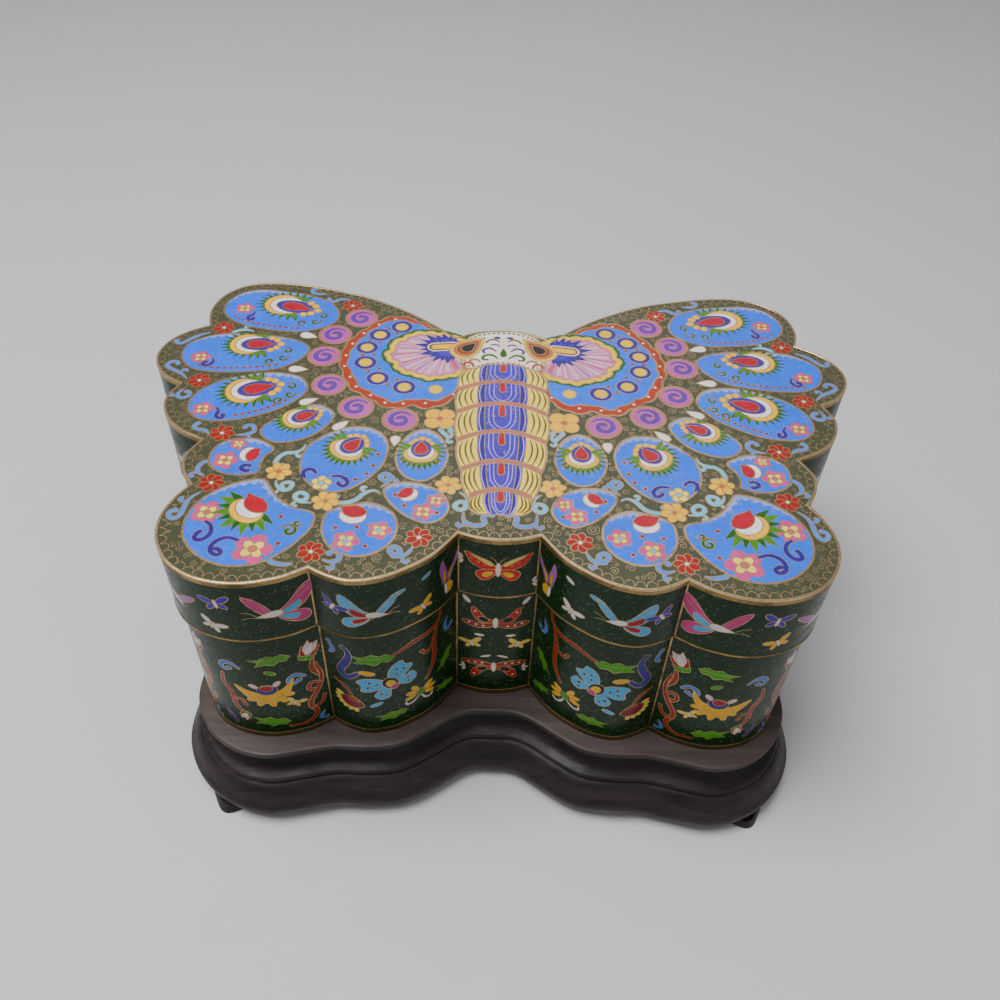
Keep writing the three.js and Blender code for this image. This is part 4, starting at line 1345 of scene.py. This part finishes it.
def enamelFinish(name, speckle, shadeFactor, specular):
    f = Finish(name, 0.0, specular)
    tint = f.nodes.new("ShaderNodeAttribute")
    tint.attribute_name = "tint"
    # shadeFactor scales every enamel colour; below 1 it is painted shade
    cloudy = f.remap(f.noise(140, 4), 0.3, 0.7, 0.88 * shadeFactor, 1.08 * shadeFactor)
    grain = f.remap(f.noise(1500, 2), 0.35, 0.65, 0.93, 1.07)
    scale = f.nodes.new("ShaderNodeVectorMath")
    scale.operation = "SCALE"
    f.links.new(tint.outputs["Color"], scale.inputs[0])
    f.links.new(f.math("MULTIPLY", cloudy, grain), scale.inputs["Scale"])
    fleck = f.remap(f.cells(1150), 0.16, 0.30, 1.0, 0.0)
    some = f.remap(f.noise(420, 2), 0.5, 0.62)
    amount = f.math("MULTIPLY", f.math("MULTIPLY", fleck, some),
                    f.math("MULTIPLY", tint.outputs["Alpha"], speckle))
    body = f.mix(amount, scale.outputs["Vector"], (0.50, 0.52, 0.36))
    pits = f.remap(f.cells(330), 0.05, 0.10, 1.0, 0.0)
    body = f.mix(f.math("MULTIPLY", pits, 0.45), body, (0.03, 0.035, 0.03))
    f.colour(body)
    f.roughness(f.remap(f.noise(260, 3), 0.3, 0.7, 0.20, 0.36))
    f.bump(f.noise(90, 2), 0.00035, 0.35)
    f.bump(f.noise(700, 2), 0.00005, 0.5)
    f.bump(f.math("SUBTRACT", 1.0, pits), 0.00008, 0.6)
    return f.material


def metalFinish(name, light, dark, rough, wear, scale=60, relief=0.00004):
    f = Finish(name, 1.0)
    tarnish = f.remap(f.noise(scale, 5, 0.62), wear, wear + 0.22)
    base = f.mix(tarnish, light, dark)
    f.colour(f.mix(f.remap(f.noise(scale * 9, 3), 0.45, 0.75, 0.0, 0.45), base, dark))
    f.roughness(f.math("ADD", f.remap(tarnish, 0, 1, rough, rough + 0.2),
                       f.remap(f.noise(900, 2), 0.3, 0.7, -0.05, 0.07)))
    f.bump(f.noise(480, 4), relief, 0.8)
    return f.material


def liningFinish(name):
    f = Finish(name)
    f.colour(f.mix(f.remap(f.noise(90, 4), 0.35, 0.7), (0.030, 0.22, 0.30), (0.055, 0.33, 0.40)))
    f.roughness(f.remap(f.noise(300, 3), 0.3, 0.7, 0.18, 0.32))
    f.bump(f.noise(420, 3), 0.0002, 0.6)
    return f.material


standLook = {"facet": 3.0, "grainScale": 55, "roughness": 0.46}  # millimetres, per metre, and 0 to 1


def woodFinish(name):
    f = Finish(name, 0.0, 0.3)
    grain = f.noise(standLook["grainScale"], 6, 0.6, (0.22, 2.6, 2.6), 0.6)
    pores = f.noise(520, 3, 0.6, (0.10, 1.0, 1.0))
    base = f.mix(f.remap(grain, 0.32, 0.68), (0.0105, 0.0072, 0.0080), (0.034, 0.0215, 0.0205))
    base = f.mix(f.remap(pores, 0.56, 0.68, 0.0, 0.6), base, (0.006, 0.004, 0.004))
    scuffs = f.remap(f.noise(260, 5, 0.7, (1.0, 0.22, 1.0), 1.2), 0.70, 0.78, 0.0, 0.35)
    base = f.mix(scuffs, base, (0.13, 0.095, 0.085))
    split = f.nodes.new("ShaderNodeSeparateXYZ")
    f.links.new(f.coords, split.inputs[0])
    flat = f.remap(split.outputs["Z"], 0.0412, 0.0418)  # the open platform is painted lighter, for the light that falls on it from above
    # The platform's painted lighter colour, following the grain
    platformLight = f.mix(f.remap(grain, 0.3, 0.7), (0.052, 0.036, 0.033), (0.095, 0.070, 0.064))
    worn = f.remap(f.noise(210, 5, 0.7, (0.5, 1.0, 1.0), 0.8), 0.66, 0.74, 0.0, 0.55)
    f.colour(f.mix(flat, base, f.mix(worn, platformLight, (0.20, 0.15, 0.12))))
    f.roughness(f.remap(f.noise(70, 4), 0.3, 0.7, standLook["roughness"] - 0.09,
                        standLook["roughness"] + 0.12))
    f.bump(grain, 0.00035, 0.4)
    f.bump(pores, 0.00018, 0.7)
    return f.material


def floorFinish(name):
    f = Finish(name)
    f.colour(f.mix(f.noise(3, 3), (0.70, 0.69, 0.70), (0.74, 0.73, 0.74)))
    f.roughness(f.remap(f.noise(40, 2), 0.3, 0.7, 0.5, 0.62))
    f.bump(f.noise(600, 2), 0.0001, 0.3)
    return f.material


brass = metalFinish("brass", (0.84, 0.62, 0.33), (0.50, 0.30, 0.13), 0.27, 0.5)
# A darker copy of the brass: painted shade on the rims' side bands, the seam and the foot
shadedBrass = metalFinish("shaded_brass", (0.34, 0.225, 0.085), (0.12, 0.085, 0.035), 0.36, 0.42)
wireMetal = metalFinish("wire", (0.74, 0.50, 0.25), (0.36, 0.22, 0.11), 0.30, 0.5, 110)
# A darker copy of the wire for the walls: painted shade
shadedWire = metalFinish("shaded_wire", (0.46, 0.32, 0.15), (0.20, 0.13, 0.06), 0.34, 0.45, 110)
lining = liningFinish("lining_enamel")
wood = woodFinish("dark_hardwood")
lidEnamel = enamelFinish("lid_enamel", 0.5, 1.0, 0.5)
# The walls' enamel: the same colours darkened to 0.62, painted shade on the sides that face away from the
# light
wallEnamelShaded = enamelFinish("wall_enamel_shaded", 0.4, 0.62, 0.16)

sink = inlayLook["sink"]
lidArt = lidPicture(lidOutline)


def onLid(x, y):
    return place3(x, y, crown - sink)


def upwards(x, y):
    return Vector((0, 0, 1))


lidTopPiece = inlayPiece("lid_top", [(lidArt, onLid, upwards, False)], [lidEnamel, wireMetal])
lidPanelsPiece, lidFigurePiece = [
    inlayPiece(name, [(r, onLid, upwards, True) for r in lidArt.regions if r.onWing == onWing],
               [lidEnamel, wireMetal])
    for name, onWing in (("lid_panels", True), ("lid_figure", False))]
print("lid", [len(piece.data.polygons) for piece in (lidTopPiece, lidPanelsPiece, lidFigurePiece)])
# Both walls take the darkened enamel and wire: painted shade
lidWallPiece = inlayPiece(
    "lid_wall", wallParts(lidOutline, -sink, seam + lidLook["edgeHeight"] - 0.3,
                          crown - lidLook["rimHeight"] + 0.3, lidWall), [wallEnamelShaded, shadedWire])
boxOutline = Outline(lidLobes, boxLook["facet"])
boxWallPiece = inlayPiece(
    "box_wall", wallParts(boxOutline, -boxLook["inset"] - sink, boxBase + boxLook["footRing"] - 0.3,
                          ledge - boxLook["seamWire"] + 0.3, boxWall), [wallEnamelShaded, shadedWire])
print("walls", len(lidWallPiece.data.polygons), len(boxWallPiece.data.polygons))

rim, c = lidLook["rimWidth"], crown
# The rim's top faces are bright brass; its side band below is the darker brass, painted shade
topRim = ringPiece("top_rim", lidOutline.loop, [
    (-rim, c - 0.7), (-rim, c - 0.12), (-rim + 0.12, c), (-0.5, c), (-0.2, c - 0.08), (-0.05, c - 0.25),
    (0, c - 0.5),
    (0, c - lidLook["rimHeight"] + 0.15), (-0.15, c - lidLook["rimHeight"]), (-0.7, c - lidLook["rimHeight"]),
    (-0.7, c - 0.7)], [brass, shadedBrass], slots=[0] * 6 + [1] * 5)
edge = lidLook["edgeHeight"]
lowRim = ringPiece("low_rim", lidOutline.loop, [
    (-2.4, seam + 1.2), (-2.4, seam + 0.1), (-2.3, seam), (-0.3, seam), (0, seam + 0.3),
    (0, seam + edge - 0.15), (-0.15, seam + edge), (-0.7, seam + edge),
    (-0.7, seam + 1.2)], [brass, shadedBrass], slots=[1])
lidRims = joinPieces("lid_rims", [topRim, lowRim])
lidShell = ringPiece("lid_shell", lidOutline.loop, [
    (-8, crown - 0.6), (-0.5, crown - 0.6), (-0.5, seam + 0.7), (-2.4, seam + 0.7), (-2.4, crown - 2.9),
    (-2.7, crown - 2.6), (-8, crown - 2.6)], [lining], True)
boxRing = boxLook["footRing"]
footRim = ringPiece("foot_rim", lidOutline.loop, [
    (-2.6, boxBase + boxRing), (-1.95, boxBase + boxRing), (-1.8, boxBase + boxRing - 0.15),
    (-1.8, boxBase + 0.3), (-2.1, boxBase), (-6, boxBase), (-6.1, boxBase + 0.1), (-6.1, boxBase + 1.2),
    (-2.6, boxBase + 1.2)],
    [brass, shadedBrass], slots=[1])
collar = ringPiece("collar", lidOutline.loop, [
    (-2.6, ledge - 0.8), (-1.9, ledge - 0.8), (-1.8, ledge - 0.7), (-1.8, ledge), (-2.9, ledge),
    (-2.9, collarTop - 0.3), (-3.2, collarTop), (-4.9, collarTop), (-5.3, collarTop - 0.4), (-5.3, ledge - 2),
    (-4.3, ledge - 3), (-4.3, ledge - 4), (-3.4, ledge - 4)], [brass, shadedBrass], slots=[1, 1, 1, 0])
boxRims = joinPieces("box_rims", [footRim, collar])
boxShell = ringPiece("box_shell", lidOutline.loop, [
    (-9, boxBase + 0.6), (-2.3, boxBase + 0.6), (-2.3, ledge - 0.4), (-4.2, ledge - 0.4),
    (-4.2, boxBase + 3.2), (-4.8, boxBase + 2.6), (-9, boxBase + 2.6)], [lining], True)

standRight = openSpline(standLine, standLook["facet"])
standLoop = standRight + [(-x, y) for x, y in standRight[-2:0:-1]]
lip = [(-1.4, 0), (-0.6, 0.12), (-0.15, 0.5), (0, 1.1), (0, 2.4), (-0.25, 2.9)]
cove = openSpline([(-1.0, 3.1), (-4.5, 4.2), (-6.5, 7.5), (-6, 12), (-2.5, 16), (1.2, 17.5)], 1.2)
tier = [(1.8, 17.9), (2.05, 18.3), (2.05, 18.9), (1.7, 19.2), (0.9, 19.4), (0.8, 20.2)]
ogee = openSpline([(1.6, 20.6), (3.4, 21.6), (5.6, 24.5), (7.2, 27.6), (8.6, 29.9)], 1.2)
skirt = openSpline([(9.1, 30.6), (9.4, 32), (9.2, 34), (8.6, 36.4), (8, 37.8)], 1.2)
foot = [(7.7, 38), (-5.8, 38), (-6, 37.8), (-6, 18)]
standPiece = ringPiece("stand_body", standLoop,
                       [(o, standTop - d) for o, d in lip + cove + tier + ogee + skirt + foot],
                       [wood], True)

print("metal, lining and stand done")
feet = []
for node in ("foot_front_right", "foot_front_left", "foot_back_right", "foot_back_left"):
    low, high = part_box(node)
    cx, cy = (low.x + high.x) / 2 / mm, (low.y + high.y) / 2 / mm - shiftY
    turned = -27 if (cx > 0) == ("front" in node) else 27
    corner = [(12 * math.copysign(abs(math.cos(a)) ** 0.35, math.cos(a)),
               12 * math.copysign(abs(math.sin(a)) ** 0.35, math.sin(a)))
              for a in [turn * (i + 0.5) / 40 for i in range(40)]]
    loop = placer(cx, cy, turned)(corner)
    feet.append(ringPiece(node + "_pad", loop, [(0, high.z / mm), (0.3, 2.6), (1.3, 1.2), (1.4, 0.5),
                                                (0.9, 0)], [wood], True))
    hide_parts(node)

for piece, node, name in ((lidShell, "lid", "enamel_lid"), (boxShell, "box", "enamel_box"),
                          (standPiece, "stand", "dark_wood")):
    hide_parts(node)
for piece in [lidShell, lidTopPiece, lidPanelsPiece, lidFigurePiece, lidWallPiece, lidRims, boxShell,
              boxWallPiece, boxRims, standPiece] + feet:
    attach(piece, "root")

floorMesh = bpy.data.meshes.new("floor")
floorMesh.from_pydata([(-3, -3, 0), (3, -3, 0), (3, 3, 0), (-3, 3, 0)], [], [(0, 1, 2, 3)])
floor = bpy.data.objects.new("floor", floorMesh)
bpy.context.collection.objects.link(floor)
floorMesh.materials.append(floorFinish("floor_paint"))

# Disk lights, as place and target in metres, size in metres and power in watts.
lightLook = {"key": ((-0.45, -0.15, 1.45), (0, 0, 0.08), 0.9, 22.0),
             "fill": ((0.95, -0.95, 0.85), (0, 0, 0.08), 1.1, 1.2),
             "sheen": ((0.1, 1.0, 1.15), (0, 0, 0.12), 0.9, 1.3)}
studioLook = {"colour": (0.97, 0.95, 1.0, 1), "strength": 0.33}
for name, (place, target, size, power) in lightLook.items():
    data = bpy.data.lights.new(name, "AREA")
    data.shape, data.size, data.energy = "DISK", size, power
    lamp = bpy.data.objects.new(name, data)
    lamp.location = place
    lamp.rotation_euler = (Vector(target) - Vector(place)).to_track_quat("-Z", "Y").to_euler()
    bpy.context.collection.objects.link(lamp)
world = bpy.data.worlds.new("studio")
world.use_nodes = True
world.node_tree.nodes["Background"].inputs["Color"].default_value = studioLook["colour"]
world.node_tree.nodes["Background"].inputs["Strength"].default_value = studioLook["strength"]
bpy.context.scene.world = world

cameraLook = {"lens": 32.97, "sensor": 36, "place": (-0.004672, -0.311777, 0.398236),
              "turned": (45.7403, -1.8858, 0.8446)}
camera = bpy.data.objects.new("camera", bpy.data.cameras.new("camera"))
camera.data.lens, camera.data.sensor_width = cameraLook["lens"], cameraLook["sensor"]
camera.location = cameraLook["place"]
camera.rotation_euler = [math.radians(angle) for angle in cameraLook["turned"]]
bpy.context.collection.objects.link(camera)
bpy.context.scene.camera = camera

print("floor, lights and camera done")
bpy.context.view_layer.update()
